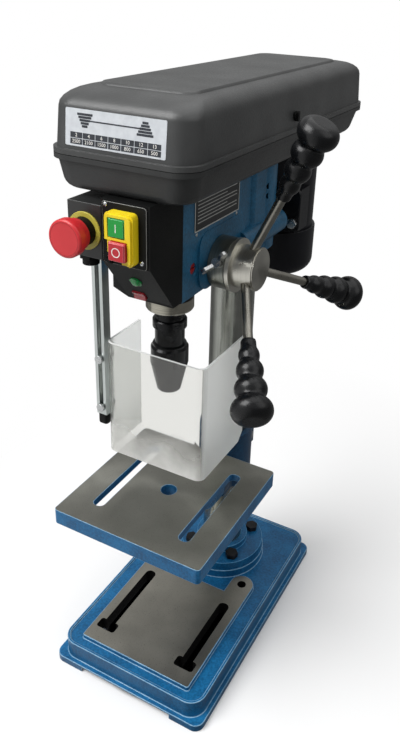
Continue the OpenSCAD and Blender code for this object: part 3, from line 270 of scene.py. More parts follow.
# Centres of the table's rings, and of the pad's grinding marks
TABLE_CENTRE = (0, -78, 200)
PAD_CENTRE = (900, 0, 31)
FINISH = {
    "blue": hammered_enamel("blue_hammered_enamel", "0e4d77", "1a6a9c"),
    # A darker, greener copy of the enamel for the head: painted shade, for the shade it sits in under the
    # pulley pan
    "shaded_head_blue": hammered_enamel("painted_shade_head_enamel", "124560", "1f5c7e"),
    # A darker copy again for the table's bracket: painted shade, for its place under the table
    "shaded_bracket_blue": hammered_enamel("painted_shade_bracket_enamel", "0b2c47", "14405f"),
    # Paler copies of the enamel for the rounds alone: painted highlights along the casting edges
    "thin_blue": hammered_enamel("painted_highlight_edge_enamel", "3d7fae", "5f9dc8", 0.3),
    "worn_blue": hammered_enamel("painted_highlight_pale_enamel", "6292b4", "8aaec7", 0.3),
    "faced": faced_iron("faced_table_iron", "6e6e68", "8a8a83", TABLE_CENTRE, 0.75),
    "ground": faced_iron("ground_pad_iron", "7a7871", "949289", PAD_CENTRE, 0.3),
    # Near black for the walls of the base's slots and holes: painted shade
    "slot_shade": moulded_plastic("painted_slot_shade", "050505", "090909", 0.9, 2.0, 0.05, 0.05),
    "column": machined_steel("drawn_column_steel", "80827d", "9c9e98", 0.22, 0.8, ALONG_Z),
    "rod": machined_steel("drawn_rod_steel", "77756e", "95938b", 0.3, 0.5, EVEN),
    "turned": machined_steel("turned_steel", "b0aea6", "c8c6bd", 0.34, 0.5, ROUND_X),
    "ring_steel": machined_steel("turned_ring_steel", "74766f", "92948d", 0.34, 0.5, ROUND_X),
    "nose": machined_steel("turned_nose_steel", "8c8a80", "aaa699", 0.2, 0.5, ROUND_Z),
    # A paler steel for the rounds of the nose ring and feed hub: a painted highlight
    "bright_edge": machined_steel("painted_highlight_steel_rounds", "b0aea6", "cfcdc6", 0.26, 0.8, EVEN),
    "zinc": machined_steel("zinc_plated_steel", "a4a6a6", "c6c8c8", 0.26, 1.2, EVEN),
    "aluminium": machined_steel("anodised_aluminium", "b0b6b4", "c6ccca", 0.34, 0.6, ALONG_Z),
    "black_steel": black_oxide("blackened_steel", "08090a", "17181a", 0.2),
    "bolt": black_oxide("oiled_black_bolts", "0f1012", "26272b", 0.42),
    "cover": moulded_plastic("charcoal_abs", "353636", "414242", 0.38, 1.5, 0.22, 0.36),
    "pan": moulded_plastic("dark_charcoal_abs", "272828", "313232", 0.38, 1.5, 0.22, 0.3),
    "black_abs": moulded_plastic("black_abs", "0a0b0b", "101111", 0.5, 0.8, 0.05, 0.12),
    "box_abs": moulded_plastic("satin_black_abs", "1b1c1c", "262727", 0.38, 0.8, 0.05, 0.4),
    "phenolic": moulded_plastic("black_phenolic", "07080a", "0c0d0f", 0.28, 2.5, 0.02, 0.28),
    "yellow": moulded_plastic("yellow_abs", "e2c516", "eed324", 0.34, 1.0, 0.02, 0.4),
    "ring_yellow": moulded_plastic("pale_yellow_disc", "b3a83e", "c4b94f", 0.4, 1.0, 0.02),
    "red": moulded_plastic("red_abs", "bf2128", "cd2c33", 0.36, 1.0, 0.02),
    "stop_red": moulded_plastic("rose_red_abs", "aa1f2a", "b82c36", 0.3, 1.0, 0.02, 0.3),
    "red_line": printed_ink("deep_red_ink", "98191f", "a82127", 0.5),
    # Paler plastic for the rounds of the stop button: a painted highlight
    "red_edge": moulded_plastic("painted_highlight_red_rounds", "d9666c", "e58489", 0.26, 1.0, 0.02),
    "green": moulded_plastic("green_abs", "148a34", "209a40", 0.3, 1.0, 0.02, 0.3),
    # Paler plastic for the rounds of the start button: a painted highlight
    "green_edge": moulded_plastic("painted_highlight_green_rounds", "63bd80", "8bd0a0", 0.26, 1.0, 0.02),
    "lacquer": moulded_plastic("red_sealing_lacquer", "7d1512", "a01c17", 0.3, 1.5, 0.05),
    "motor": moulded_plastic("black_motor_paint", "0c0d10", "131419", 0.36, 1.4, 0.05, 0.16),
    "rubber": moulded_plastic("belt_rubber", "0f0f10", "191919", 0.7, 1.0, 0.06, 0.3),
    "clear": clear_polycarbonate("clear_polycarbonate", "e6e6e2", 0.97, 0.16, 0.05),
    # A paler, milkier copy of the sheet for the guard's wings: painted light, for light shining through them
    "clear_side_light": clear_polycarbonate("painted_light_side_sheet", "f6f8f6", 0.97, 0.7, 0.37),
    # An almost opaque white for the sheet's rounds and its top and bottom edges: a painted highlight along
    # them
    "clear_edge": clear_polycarbonate("painted_highlight_sheet_edge", "f6f8f6", 0.2, 0.15, 0.2),
    "lens": tinted_lens("green_lamp_lens", "0b843a", "1ba954"),
    "rocker": tinted_lens("red_rocker_lens", "a32129", "c33a42"),
    "vinyl": printed_ink("white_vinyl", "bec2c7", "ccd0d4", 0.4),
    "ink": printed_ink("dark_ink", "1f2329", "2b2f37", 0.45),
    "foil": printed_ink("black_printed_foil", "101112", "1a1b1c", 0.4),
    "plate_edge": printed_ink("plate_border", "70716e", "8b8c88", 0.4),
    "silver_ink": printed_ink("silver_ink", "9c9d99", "b9bab6", 0.4),
    "white_ink": printed_ink("white_mark", "e6e4de", "f4f2ec", 0.4),
}

FINISH_OF = {
    "blue": ["base", "table", "column_flange"],
    "shaded_head_blue": ["head_casting"],
    "shaded_bracket_blue": ["table_bracket"],
    "column": ["column", "quill", "slide_rods", "motor_shaft", "spindle"],
    "rod": ["feed_rods", "chuck_jaw_1", "chuck_jaw_2", "chuck_jaw_3", "return_spring"],
    "turned": ["feed_hub", "feed_shaft"],
    "ring_steel": ["depth_ring"],
    "nose": ["nose_ring", "sleeve_bearing"],
    "zinc": ["depth_screw", "motor_bolts", "guard_screws", "spring_nut", "tilt_bolt", "table_clamp",
             "lid_hinge_pin"],
    "aluminium": ["guard_bar", "spindle_pulley", "motor_pulley"],
    "black_steel": ["chuck_body", "chuck_sleeve", "spring_cap", "guard_link"],
    "bolt": ["flange_bolts", "column_screws"],
    "cover": ["pulley_lid"],
    "pan": ["pulley_pan"],
    "box_abs": ["estop_box"],
    "black_abs": ["switch_housing", "switch_plate", "estop_collar", "cable_gland", "guard_block",
                  "bar_cap", "lid_latch"],
    "phenolic": ["feed_grips"],
    "yellow": ["switch_frame"],
    "ring_yellow": ["estop_ring"],
    "red": ["estop_button"],
    "stop_red": ["stop_button"],
    "green": ["start_button"],
    "lacquer": ["sealed_screw"],
    "motor": ["motor_shell", "motor_bell", "motor_plate"],
    "rubber": ["drive_belt"],
    "clear": ["guard_shell"],
    "lens": ["power_lamp"],
    "rocker": ["lamp_rocker"],
}
NODE_FINISH = {node: FINISH[key] for key, nodes in FINISH_OF.items() for node in nodes}


# Pieces
def new_piece(name, form, finish, body):
    """Turns a bmesh into a piece with a finish, which rides on a body."""
    mesh = bpy.data.meshes.new(name)
    form.to_mesh(mesh)
    form.free()
    mesh.materials.append(finish)
    piece = bpy.data.objects.new(name, mesh)
    bpy.context.scene.collection.objects.link(piece)
    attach(piece, body)
    return piece


def welded(node):
    """A solid's mesh in a bmesh, with the points of neighbouring faces joined."""
    form = bmesh.new()
    form.from_mesh(NODES[node].data)
    bmesh.ops.remove_doubles(form, verts=form.verts, dist=WELD)
    return form


def in_place_of(node, form):
    """A piece in the finish of a solid, on its body and in place of it."""
    piece = new_piece(node + "_soft", form, NODE_FINISH[node], BODY_OF[node])
    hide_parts(node)
    return piece


def round_edges(piece, width_mm, edge, limit):
    """Rounds a piece's hard edges. edge is a second finish for the rounds alone, mostly a painted highlight.
    """
    bevel = piece.modifiers.new("round_edges", "BEVEL")
    bevel.width = width_mm*MM
    bevel.segments = 2
    bevel.limit_method = limit
    bevel.angle_limit = HARD_EDGE
    if edge:
        piece.data.materials.append(FINISH[edge])
        bevel.material = len(piece.data.materials) - 1
    even = piece.modifiers.new("even_shading", "WEIGHTED_NORMAL")
    even.keep_sharp = True


def softened(node, width_mm, edge, sharp=None):
    """A copy of a solid with its hard edges rounded, in its place. sharp picks edges that stay sharp."""
    form = welded(node)
    bmesh.ops.dissolve_limit(form, angle_limit=FLAT_TURN, verts=form.verts, edges=form.edges)
    for face in form.faces:
        face.smooth = True
        face.material_index = 0
    if sharp:
        mark = form.edges.layers.float.new("bevel_weight_edge")
        for line in form.edges:
            hard = line.calc_face_angle(0) > HARD_EDGE
            line.smooth = not (hard and sharp((line.verts[0].co + line.verts[1].co)/2/MM))
            line[mark] = hard and line.smooth
    piece = in_place_of(node, form)
    round_edges(piece, width_mm, edge, "WEIGHT" if sharp else "ANGLE")
    return piece


def melted(node, skin_mm, passes):
    """A copy of a solid whose creases run into each other, as on a moulded grip, in its place."""
    piece = in_place_of(node, welded(node))
    skin = piece.modifiers.new("even_skin", "REMESH")
    skin.mode = "VOXEL"
    skin.voxel_size = skin_mm*MM
    skin.use_smooth_shade = True
    melt = piece.modifiers.new("melt_creases", "SMOOTH")
    melt.factor = 0.5
    melt.iterations = passes


def polished(node):
    """A solid that stays as it is, with its finish and smooth shading."""
    solid = NODES[node]
    solid.data.materials.clear()
    solid.data.materials.append(NODE_FINISH[node])
    solid.data.shade_smooth()
    solid.data.set_sharp_from_angle(angle=math.radians(35))


def paint_faces(piece, key, chosen):
    """Gives a second finish to the faces that a test picks by centre, in millimetres, and normal."""
    piece.data.materials.append(FINISH[key])
    index = len(piece.data.materials) - 1
    for face in piece.data.polygons:
        if chosen(face.center/MM, face.normal):
            face.material_index = index


def split_at(piece, at_mm, out):
    """Cuts a piece's faces along a plane, so that each side can have its own finish."""
    form = bmesh.new()
    form.from_mesh(piece.data)
    everything = form.verts[:] + form.edges[:] + form.faces[:]
    bmesh.ops.bisect_plane(form, geom=everything, plane_co=Vector(at_mm)*MM, plane_no=out)
    form.to_mesh(piece.data)
    form.free()


# Reach of the base's slots on each side, and place and radius of its bench holes
SLOT_X = (36.0, 60.0)
SLOT_Y = (-131.0, -33.0)
BENCH_BOLT = (51.0, 5.6)


def in_base_hole(at):
    """Whether a point lies in a slot or a bench hole of the base, which stay sharp and get painted shade."""
    in_slot = SLOT_X[0] < abs(at.x) < SLOT_X[1] and SLOT_Y[0] < at.y < SLOT_Y[1]
    return in_slot or math.hypot(abs(at.x) - BENCH_BOLT[0], at.y) < BENCH_BOLT[1]


# Millimetres of edge rounding, the finish of the rounds where it differs, and the edges that stay sharp
# A finish on the rounds is a painted highlight along them, save the switch plate's printed border.
SOFT = {
    "base": (1.0, "worn_blue", in_base_hole), "head_casting": (1.3, "thin_blue"),
    "table": (0.8, "worn_blue"), "table_bracket": (1.6, None), "column_flange": (1.0, "thin_blue"),
    "motor_plate": (1.2, None), "motor_shell": (1.5, None), "motor_bell": (1.0, None),
    "pulley_lid": (0.7, None), "pulley_pan": (0.7, None), "switch_housing": (0.8, None),
    "switch_plate": (0.3, "plate_edge"), "switch_frame": (0.9, None), "start_button": (0.6, "green_edge"),
    "stop_button": (0.9, "red_edge"), "lamp_rocker": (0.4, None), "estop_box": (1.0, None),
    "estop_ring": (0.4, None), "estop_collar": (0.6, None), "estop_button": (0.8, None),
    "cable_gland": (0.5, None), "guard_block": (1.0, None), "guard_link": (0.8, None),
    "guard_bar": (0.5, None), "bar_cap": (1.5, None), "guard_shell": (0.5, "clear_edge"),
    "guard_screws": (0.4, None), "nose_ring": (0.6, "bright_edge"), "depth_ring": (0.5, None),
    "feed_hub": (0.5, "bright_edge"), "depth_screw": (0.7, None), "spring_cap": (1.0, None),
    "spring_nut": (0.6, None), "motor_bolts": (0.5, None), "flange_bolts": (0.6, None),
    "tilt_bolt": (0.6, None), "table_clamp": (0.5, None), "lid_latch": (0.5, None),
    "spindle_pulley": (0.5, None), "motor_pulley": (0.5, None), "chuck_sleeve": (0.5, None),
    "chuck_body": (0.5, None), "spindle": (0.5, None),
}
# The grips get a new skin of this mesh size, smoothed this many times
GRIPS = "feed_grips"
GRIP_SKIN = 1.3
GRIP_PASSES = 10
soft_piece = {node: softened(node, *edges) for node, edges in SOFT.items()}
melted(GRIPS, GRIP_SKIN, GRIP_PASSES)
for node in NODES:
    if node not in SOFT and node != GRIPS:
        polished(node)

# Ground faces, painted shade in the slots and under the quill, painted light on the guard's wings and edges.
# A face is picked by how far its normal leans along an axis, and by its height within NEAR millimetres.
PAD_TOP = 31.0
LEVEL = 0.99
SQUARE_ON = 0.8
UPRIGHT = 0.5
NEAR = 0.2
table_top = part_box("table")[1].z/MM
quill_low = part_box("quill")[0].z/MM
paint_faces(soft_piece["table"], "faced", lambda at, out: out.z > LEVEL and at.z > table_top - NEAR)
paint_faces(soft_piece["base"], "ground", lambda at, out: out.z > LEVEL and abs(at.z - PAD_TOP) < NEAR)
# Painted shade: the walls of the base's slots and bench holes take the near black
paint_faces(soft_piece["base"], "slot_shade", lambda at, out: abs(out.z) < UPRIGHT and in_base_hole(at))
# Painted light: the guard's wings take the paler, milkier copy of the sheet
paint_faces(soft_piece["guard_shell"], "clear_side_light", lambda at, out: abs(out.x) > SQUARE_ON)
# Painted highlight: the sheet's top and bottom edges take the almost opaque white
paint_faces(soft_piece["guard_shell"], "clear_edge", lambda at, out: abs(out.z) > SQUARE_ON)
# Painted shade: the spindle below the quill takes the black steel, for the shade under the nose ring
paint_faces(soft_piece["spindle"], "black_steel", lambda at, out: at.z < quill_low)

# The nose gets painted shade above its steel lip, and the switch frame's foot is black left of the stop
# button
NOSE_LIP = 11.0
FRAME_FOOT = 3.0
lip_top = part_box("nose_ring")[0].z/MM + NOSE_LIP
split_at(soft_piece["nose_ring"], (0, 0, lip_top), UP)
paint_faces(soft_piece["nose_ring"], "black_steel", lambda at, out: at.z > lip_top)
stop_low, stop_high = [corner/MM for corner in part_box("stop_button")]
stop_mid = (stop_low + stop_high)/2
split_at(soft_piece["switch_frame"], stop_mid, RIGHT)
split_at(soft_piece["switch_frame"], stop_low + FRAME_FOOT*UP, UP)
paint_faces(soft_piece["switch_frame"], "black_abs",
            lambda at, out: at.x < stop_mid.x and at.z < stop_low.z + FRAME_FOOT)


# Surfaces and small outlines
def seat_on(node, start_mm, aim):
    """A place on a solid where a ray meets it: +Z out of the surface, +Y as near to upright as it can lie."""
    mesh = NODES[node].data
    surface = BVHTree.FromPolygons([v.co for v in mesh.vertices], [list(f.vertices) for f in mesh.polygons])
    hit, out = surface.ray_cast(Vector(start_mm)*MM, aim)[:2]
    if out.dot(aim) > 0:
        out = -out
    across = UP.cross(out).normalized()
    return Matrix.Translation(hit) @ Matrix((across, out.cross(across), out)).transposed().to_4x4()


CORNER_STEPS = 5


def rounded(width, height, radius, centre=(0, 0)):
    """Outline of a rectangle with round corners, anticlockwise, in millimetres."""
    points = []
    for turn, (sx, sy) in enumerate(((1, 1), (-1, 1), (-1, -1), (1, -1))):
        for k in range(CORNER_STEPS + 1):
            a = math.radians(90*(turn + k/CORNER_STEPS))
            points.append((centre[0] + sx*(width/2 - radius) + radius*math.cos(a),
                           centre[1] + sy*(height/2 - radius) + radius*math.sin(a)))
    return points


def circle(radius, steps=40):
    """Outline of a circle, anticlockwise, in millimetres."""
    turns = [2*math.pi*k/steps for k in range(steps)]
    return [(radius*math.cos(a), radius*math.sin(a)) for a in turns]


def cut_sheet(form, seat, outer, thick_mm, inner=None, lift_mm=0.0):
    """Adds a thin solid with an outline, or the band between two outlines, standing on a seat."""
    levels = (lift_mm*MM, (lift_mm + thick_mm)*MM)
    loops = [[[form.verts.new(seat @ Vector((x*MM, y*MM, z))) for x, y in outline] for z in levels]
             for outline in (outer, inner) if outline]
    count = len(outer)
    for (low, high), flip in zip(loops, (False, True)):
        for i in range(count):
            side = [low[i], low[(i + 1) % count], high[(i + 1) % count], high[i]]
            form.faces.new(reversed(side) if flip else side)
    if inner:
        for level, flip in ((0, True), (1, False)):
            for i in range(count):
                j = (i + 1) % count
                band = [loops[0][level][i], loops[0][level][j], loops[1][level][j], loops[1][level][i]]
                form.faces.new(reversed(band) if flip else band)
    else:
        form.faces.new(reversed(loops[0][0]))
        form.faces.new(loops[0][1])


def turned_piece(name, node, finish, seat, profile, steps):
    """A profile of (radius, height) in millimetres, turned round a seat's +Z, that rides with a node."""
    form = bmesh.new()
    start = [form.verts.new((r*MM, 0, h*MM)) for r, h in profile]
    edges = [form.edges.new(pair) for pair in zip(start, start[1:])]
    bmesh.ops.spin(form, geom=start + edges, axis=UP, cent=(0, 0, 0), angle=2*math.pi, steps=steps)
    bmesh.ops.remove_doubles(form, verts=form.verts, dist=1e-8)
    bmesh.ops.recalc_face_normals(form, faces=form.faces)
    form.transform(seat)
    for face in form.faces:
        face.smooth = True
    piece = new_piece(name, form, FINISH[finish], BODY_OF[node])
    piece.data.set_sharp_from_angle(angle=math.radians(40))


def sheet_piece(name, node, finish, parts):
    """One piece of thin sheets that rides with a node. parts holds the arguments of each sheet."""
    form = bmesh.new()
    for part in parts:
        cut_sheet(form, *part)
    new_piece(name, form, FINISH[finish], BODY_OF[node])


def numerals(form, seat, text, height_mm, centre, lift_mm):
    """Adds plain numbers, centred on a point of the seat. A figure is 0.7 of the font's size high."""
    curve = bpy.data.curves.new("numerals", "FONT")
    curve.body = text
    curve.align_x = "CENTER"
    curve.align_y = "CENTER"
    curve.size = height_mm*MM/0.7
    curve.resolution_u = 2
    writer = bpy.data.objects.new("numerals", curve)
    mesh = bpy.data.meshes.new_from_object(writer)
    mesh.transform(seat @ Matrix.Translation(Vector((centre[0], centre[1], lift_mm))*MM))
    form.from_mesh(mesh)
    bpy.data.objects.remove(writer)
    bpy.data.curves.remove(curve)
    bpy.data.meshes.remove(mesh)


# Rays towards the front and the right side start this far out, in millimetres
BEFORE = -400
BESIDE = 200

# Speed chart on the front of the lid: two stepped pulleys with a belt, over a grid of plain numbers
LABEL_AT = (-1.0, 566.3)
LABEL_SIZE = (87.0, 27.0)
LABEL_CORNER = 1.2
VINYL_THICK = 0.25
INK_THICK = 0.1
INK_CORNER = 0.3
CHART_AT = (0.4, -7.7)
CELL = (11.3, 4.6)
COLUMNS, ROWS = 7, 2
CELL_GAP = 0.5
NUMBER_HEIGHT = 2.6
NUMBER_LIFT = 0.37
PULLEY_X = 26.0
PULLEY_LOW = 1.4
PULLEY_STEPS = 5
STEP_HEIGHT = 2.1
STEP_GAP = 0.4
STEP_WIDTH = 5.0
STEP_GROWTH = 2.2
BELT_STEP = 2
BELT_SIZE = (44.0, 1.0)
BELT_CORNER = 0.4
DRILL_SIZES = ("2", "4", "6", "8", "10", "12", "13")
SPEEDS = ("2500", "2100", "1500", "1000", "800", "650", "500")


def speed_chart():
    seat = seat_on("pulley_lid", (LABEL_AT[0], BEFORE, LABEL_AT[1]), BACK)
    sheet = rounded(*LABEL_SIZE, LABEL_CORNER)
    sheet_piece("speed_chart_vinyl", "pulley_lid", "vinyl", [(seat, sheet, VINYL_THICK)])
    cells = [(CHART_AT[0] + (c - (COLUMNS - 1)/2)*CELL[0], CHART_AT[1] + (0.5 - r)*CELL[1])
             for r in range(ROWS) for c in range(COLUMNS)]
    marks = [rounded(CELL[0] - CELL_GAP, CELL[1] - CELL_GAP, INK_CORNER, at) for at in cells]
    for k in range(PULLEY_STEPS):
        for side in (-1, 1):
            width = STEP_WIDTH + STEP_GROWTH*(k if side < 0 else PULLEY_STEPS - 1 - k)
            at = (side*PULLEY_X, PULLEY_LOW + k*STEP_HEIGHT)
            marks.append(rounded(width, STEP_HEIGHT - STEP_GAP, INK_CORNER, at))
    marks.append(rounded(*BELT_SIZE, BELT_CORNER, (0, PULLEY_LOW + BELT_STEP*STEP_HEIGHT)))
    ink = [(seat, mark, INK_THICK, None, VINYL_THICK) for mark in marks]
    sheet_piece("speed_chart_ink", "pulley_lid", "ink", ink)
    form = bmesh.new()
    for at, text in zip(cells, DRILL_SIZES + SPEEDS):
        numerals(form, seat, text, NUMBER_HEIGHT, at, NUMBER_LIFT)
    new_piece("speed_chart_numbers", form, FINISH["white_ink"], BODY_OF["pulley_lid"])


# Blank data plate on the right of the head: a bordered foil with ruled lines and two rivets
PLATE_Y = (-95.5, -17.0)
PLATE_Z = (481.0, 515.0)
PLATE_CORNER = 1.0
PLATE_BORDER = 1.0
BORDER_CORNER = 0.6
BORDER_THICK = 0.12
FOIL_THICK = 0.4
RULES = 8
RULE_HEIGHT = 0.7
RULE_CORNER = 0.2
RULE_MARGIN = 10.0
RULE_TOP = 6.0
SHORT_BY = 18.0
RIVETS = ((-91.7, 478.6), (-20.5, 478.6))
RIVET_PROFILE = ((0, 0.9), (0.9, 0.8), (1.5, 0.4), (1.6, -0.1))


def data_plate():
    width, height = PLATE_Y[1] - PLATE_Y[0], PLATE_Z[1] - PLATE_Z[0]
    seat = seat_on("head_casting", (BESIDE, sum(PLATE_Y)/2, sum(PLATE_Z)/2), -RIGHT)
    outer = rounded(width, height, PLATE_CORNER)
    inner = rounded(width - 2*PLATE_BORDER, height - 2*PLATE_BORDER, BORDER_CORNER)
    sheet_piece("data_plate_foil", "head_casting", "foil", [(seat, outer, FOIL_THICK)])
    marks = [(seat, outer, BORDER_THICK, inner, FOIL_THICK)]
    # Every third rule ends early, as the last line of a paragraph does
    for k in range(RULES):
        short = SHORT_BY if k % 3 == 2 else 0
        at = (-short/2, height/2 - RULE_TOP - k*(height - RULE_MARGIN)/RULES)
        rule = rounded(width - RULE_MARGIN - short, RULE_HEIGHT, RULE_CORNER, at)
        marks.append((seat, rule, INK_THICK, None, FOIL_THICK))
    sheet_piece("data_plate_rules", "head_casting", "silver_ink", marks)
    for k, (y, z) in enumerate(RIVETS):
        rivet = seat_on("head_casting", (BESIDE, y, z), -RIGHT)
        turned_piece("data_plate_rivet_%d" % (k + 1), "head_casting", "zinc", rivet, RIVET_PROFILE, 16)


# Switch: two countersunk screws in the plate, each placed from its own corner, the marks on the buttons, and
# the line round the stop mushroom in shares of its radius
SCREW_INSETS = ((3.1, 2.5), (4.1, 5.3))
SCREW_PROFILE = ((0, 0.2), (0.5, 0.2), (0.6, 0.9), (1.5, 0.7), (1.9, 0.2), (1.9, -0.2))
BAR_MARK = (0.7, 6.4)
BAR_CORNER = 0.3
RING_MARK = (3.7, 3.05)
STOP_LINE = (0.86, 0.83)
STOP_LINE_THICK = 0.08


def switch_marks():
    low, high = [corner/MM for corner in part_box("switch_plate")]
    upper, lower = SCREW_INSETS
    screws = ((low.x + upper[0], high.z - upper[1]), (high.x - lower[0], low.z + lower[1]))
    for k, (x, z) in enumerate(screws):
        seat = seat_on("switch_plate", (x, BEFORE, z), BACK)
        turned_piece("switch_screw_%d" % (k + 1), "switch_plate", "zinc", seat, SCREW_PROFILE, 20)
    for node, outlines in (("start_button", (rounded(*BAR_MARK, BAR_CORNER), None)),
                           ("stop_button", [circle(r) for r in RING_MARK])):
        middle = sum(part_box(node), Vector())/2/MM
        seat = seat_on(node, (middle.x, BEFORE, middle.z), BACK)
        sheet_piece(node + "_mark", node, "white_ink", [(seat, outlines[0], INK_THICK, outlines[1])])
    low, high = [corner/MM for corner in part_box("estop_button")]
    seat = seat_on("estop_button", ((low.x + high.x)/2, BEFORE, (low.z + high.z)/2), BACK)
    rim = [circle(share*(high.x - low.x)/2, steps=64) for share in STOP_LINE]
    sheet_piece("estop_line", "estop_button", "red_line", [(seat, rim[0], STOP_LINE_THICK, rim[1])])


speed_chart()
data_plate()
switch_marks()


# Camera at the photograph's view, in the 400 by 755 frame
FRAME_W, FRAME_H = 400, 755
CAMERA_MM = (305.46, -576.35, 672.13)
AZIMUTH, ELEVATION, ROLL = 27.38, 24.17, 2.05
FOCAL_PX = 726.1
CENTRE_PX = (217.8, 298.96)
SENSOR_MM = 36.0


def make_camera():
    data = bpy.data.cameras.new("photo_camera")
    camera = bpy.data.objects.new("photo_camera", data)
    bpy.context.scene.collection.objects.link(camera)
    data.sensor_fit = "AUTO"
    data.sensor_width = SENSOR_MM
    data.lens = FOCAL_PX*SENSOR_MM/FRAME_H
    data.shift_x = (FRAME_W/2 - CENTRE_PX[0])/FRAME_H
    data.shift_y = (CENTRE_PX[1] - FRAME_H/2)/FRAME_H
    data.clip_start = 0.01
    turn = Matrix.Rotation(math.radians(AZIMUTH), 4, "Z")
    tip = Matrix.Rotation(math.radians(90 - ELEVATION), 4, "X")
    roll = Matrix.Rotation(math.radians(ROLL), 4, "Z")
    camera.matrix_world = Matrix.Translation(Vector(CAMERA_MM)*MM) @ (turn @ tip @ roll)
    bpy.context.scene.camera = camera


# Floor, world and lamps. The floor's rings are given in widths and depths of the base, from its middle.
WHITE = (1, 1, 1, 1)
ROOM_FRONT = (-0.5, -0.87, 0.0)
ROOM_SPREAD = (0.5, 0.95)
ROOM_DIM = 0.2
CEILING_SPREAD = (0.1, 0.45)
CEILING = 0.6
SKY = 0.27
FLOOR_REACH = 6.0
FLOOR_FADE = (0.45, 2.2)
SHADE_UNDER_BASE = (0.46, 0.5)
BOUNCE_RISE = (1.0, 3.2)


def make_floor():
    # Pale paper that turns to plain white away from the press, so that only the soft shadow shows. Under the
    # base's hollow it is near black, painted shade, and near the press it throws little light back.
    corners = [(sx*FLOOR_REACH, sy*FLOOR_REACH, 0) for sx, sy in ((-1, -1), (1, -1), (1, 1), (-1, 1))]
    mesh = bpy.data.meshes.new("floor")
    mesh.from_pydata(corners, [], [(0, 1, 2, 3)])
    floor = bpy.data.objects.new("floor", mesh)
    floor.location.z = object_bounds()[0].z
    bpy.context.scene.collection.objects.link(floor)
    material, tree, place = new_material("pale_paper")
    path = add(tree, "ShaderNodeLightPath")
    low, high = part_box("base")
    spot = add(tree, "ShaderNodeVectorMath", {0: place, 1: (low + high)/2}, operation="SUBTRACT")[0]
    flat = add(tree, "ShaderNodeVectorMath", {0: spot, 1: (1/(high.x - low.x), 1/(high.y - low.y), 0)},
               operation="MULTIPLY")[0]
    away = add(tree, "ShaderNodeVectorMath", {0: flat}, operation="LENGTH")["Value"]
    fade = add(tree, "ShaderNodeMapRange", {0: away, 1: FLOOR_FADE[0], 2: FLOOR_FADE[1]})[0]
    mirror = add(tree, "ShaderNodeMath", {0: path["Is Glossy Ray"], 1: path["Is Transmission Ray"]},
                 operation="SUBTRACT", use_clamp=True)[0]
    way = add(tree, "ShaderNodeVectorMath", {0: place}, operation="NORMALIZE")[0]
    ahead = add(tree, "ShaderNodeVectorMath", {0: way, 1: ROOM_FRONT}, operation="DOT_PRODUCT")["Value"]
    mirrored = add(tree, "ShaderNodeMapRange", {
        0: ahead, 1: ROOM_SPREAD[0], 2: ROOM_SPREAD[1], 3: ROOM_DIM})[0]
    strength = add(tree, "ShaderNodeMix", {0: mirror, 2: 1.0, 3: mirrored})[0]
    unseen = add(tree, "ShaderNodeMath", {0: path["Is Glossy Ray"], 1: path["Is Transmission Ray"]},
                 operation="MAXIMUM")[0]
    near = add(tree, "ShaderNodeMath", {0: path["Is Camera Ray"], 1: fade}, operation="MULTIPLY")[0]
    glow = add(tree, "ShaderNodeMath", {0: unseen, 1: near}, operation="MAXIMUM")[0]
    # Painted shade: the paper is near black under the base's hollow
    beyond_base_shade = add(tree, "ShaderNodeMapRange", {0: away, 1: SHADE_UNDER_BASE[0], 2: SHADE_UNDER_BASE[1]})[0]
    tone = add(tree, "ShaderNodeMix", {0: beyond_base_shade, 6: linear("050505"), 7: linear("f4f4f4")},
               data_type="RGBA")[2]
    rise = add(tree, "ShaderNodeMapRange", {0: away, 1: BOUNCE_RISE[0], 2: BOUNCE_RISE[1]})[0]
    fill = add(tree, "ShaderNodeMix", {0: rise, 6: linear("181818"), 7: linear("c8c8c8")},
               data_type="RGBA")[2]
    bounced = add(tree, "ShaderNodeMix", {0: path["Is Diffuse Ray"], 6: tone, 7: fill}, data_type="RGBA")[2]
    paper = add(tree, "ShaderNodeBsdfDiffuse", {"Color": bounced})[0]
    white = add(tree, "ShaderNodeEmission", {"Color": WHITE, "Strength": strength})[0]
    mixed = add(tree, "ShaderNodeMixShader", {0: glow, 1: paper, 2: white})[0]
    add(tree, "ShaderNodeOutputMaterial", {"Surface": mixed})
    mesh.materials.append(material)


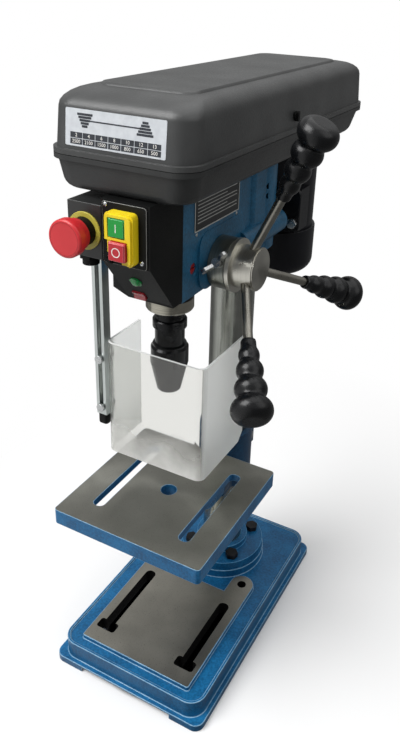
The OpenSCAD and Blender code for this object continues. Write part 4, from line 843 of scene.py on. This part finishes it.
def make_world():
    # White behind the press, to the eye and through clear pieces. Reflections see a room that is white on the
    # side that the press faces, dimmer overhead, and dim towards its sides and back.
    world = bpy.data.worlds.new("studio")
    bpy.context.scene.world = world
    world.use_nodes = True
    tree = world.node_tree
    tree.nodes.clear()
    path = add(tree, "ShaderNodeLightPath")
    aim = add(tree, "ShaderNodeTexCoord")["Generated"]
    front = add(tree, "ShaderNodeVectorMath", {0: aim, 1: ROOM_FRONT}, operation="DOT_PRODUCT")["Value"]
    height = add(tree, "ShaderNodeSeparateXYZ", {0: aim})["Z"]
    wall = add(tree, "ShaderNodeMapRange", {0: front, 1: ROOM_SPREAD[0], 2: ROOM_SPREAD[1], 3: ROOM_DIM})[0]
    ceiling = add(tree, "ShaderNodeMapRange", {
        0: height, 1: CEILING_SPREAD[0], 2: CEILING_SPREAD[1], 3: ROOM_DIM, 4: CEILING})[0]
    dim = add(tree, "ShaderNodeMath", {0: wall, 1: ceiling}, operation="MAXIMUM")[0]
    soft = add(tree, "ShaderNodeBackground", {"Color": WHITE, "Strength": SKY})[0]
    mirrored = add(tree, "ShaderNodeBackground", {"Color": WHITE, "Strength": dim})[0]
    white = add(tree, "ShaderNodeBackground", {"Color": WHITE, "Strength": 1.0})[0]
    clear = add(tree, "ShaderNodeMath", {0: path["Is Camera Ray"], 1: path["Is Transmission Ray"]},
                operation="MAXIMUM")[0]
    room = add(tree, "ShaderNodeMixShader", {0: path["Is Glossy Ray"], 1: soft, 2: mirrored})[0]
    seen = add(tree, "ShaderNodeMixShader", {0: clear, 1: room, 2: white})[0]
    add(tree, "ShaderNodeOutputWorld", {"Surface": seen})


# Place and width of each square softbox in metres, and its power in watts. All aim at the press's middle.
LAMPS = {
    "key_softbox": ((-0.8, -1.15, 2.0), 1.4, 55),
    "top_softbox": ((0.1, 0.3, 1.9), 1.6, 10),
    "side_softbox": ((1.5, -0.1, 1.5), 1.4, 6),
}
MIDDLE = (0, 0, 0.3)


def softbox(name, place, width, power):
    data = bpy.data.lights.new(name, "AREA")
    data.shape = "SQUARE"
    data.size = width
    data.energy = power
    lamp = bpy.data.objects.new(name, data)
    bpy.context.scene.collection.objects.link(lamp)
    lamp.location = place
    lamp.rotation_euler = (Vector(MIDDLE) - Vector(place)).to_track_quat("-Z", "Y").to_euler()


make_camera()
make_floor()
make_world()
for name, settings in LAMPS.items():
    softbox(name, *settings)
bpy.context.scene.view_settings.view_transform = "Standard"
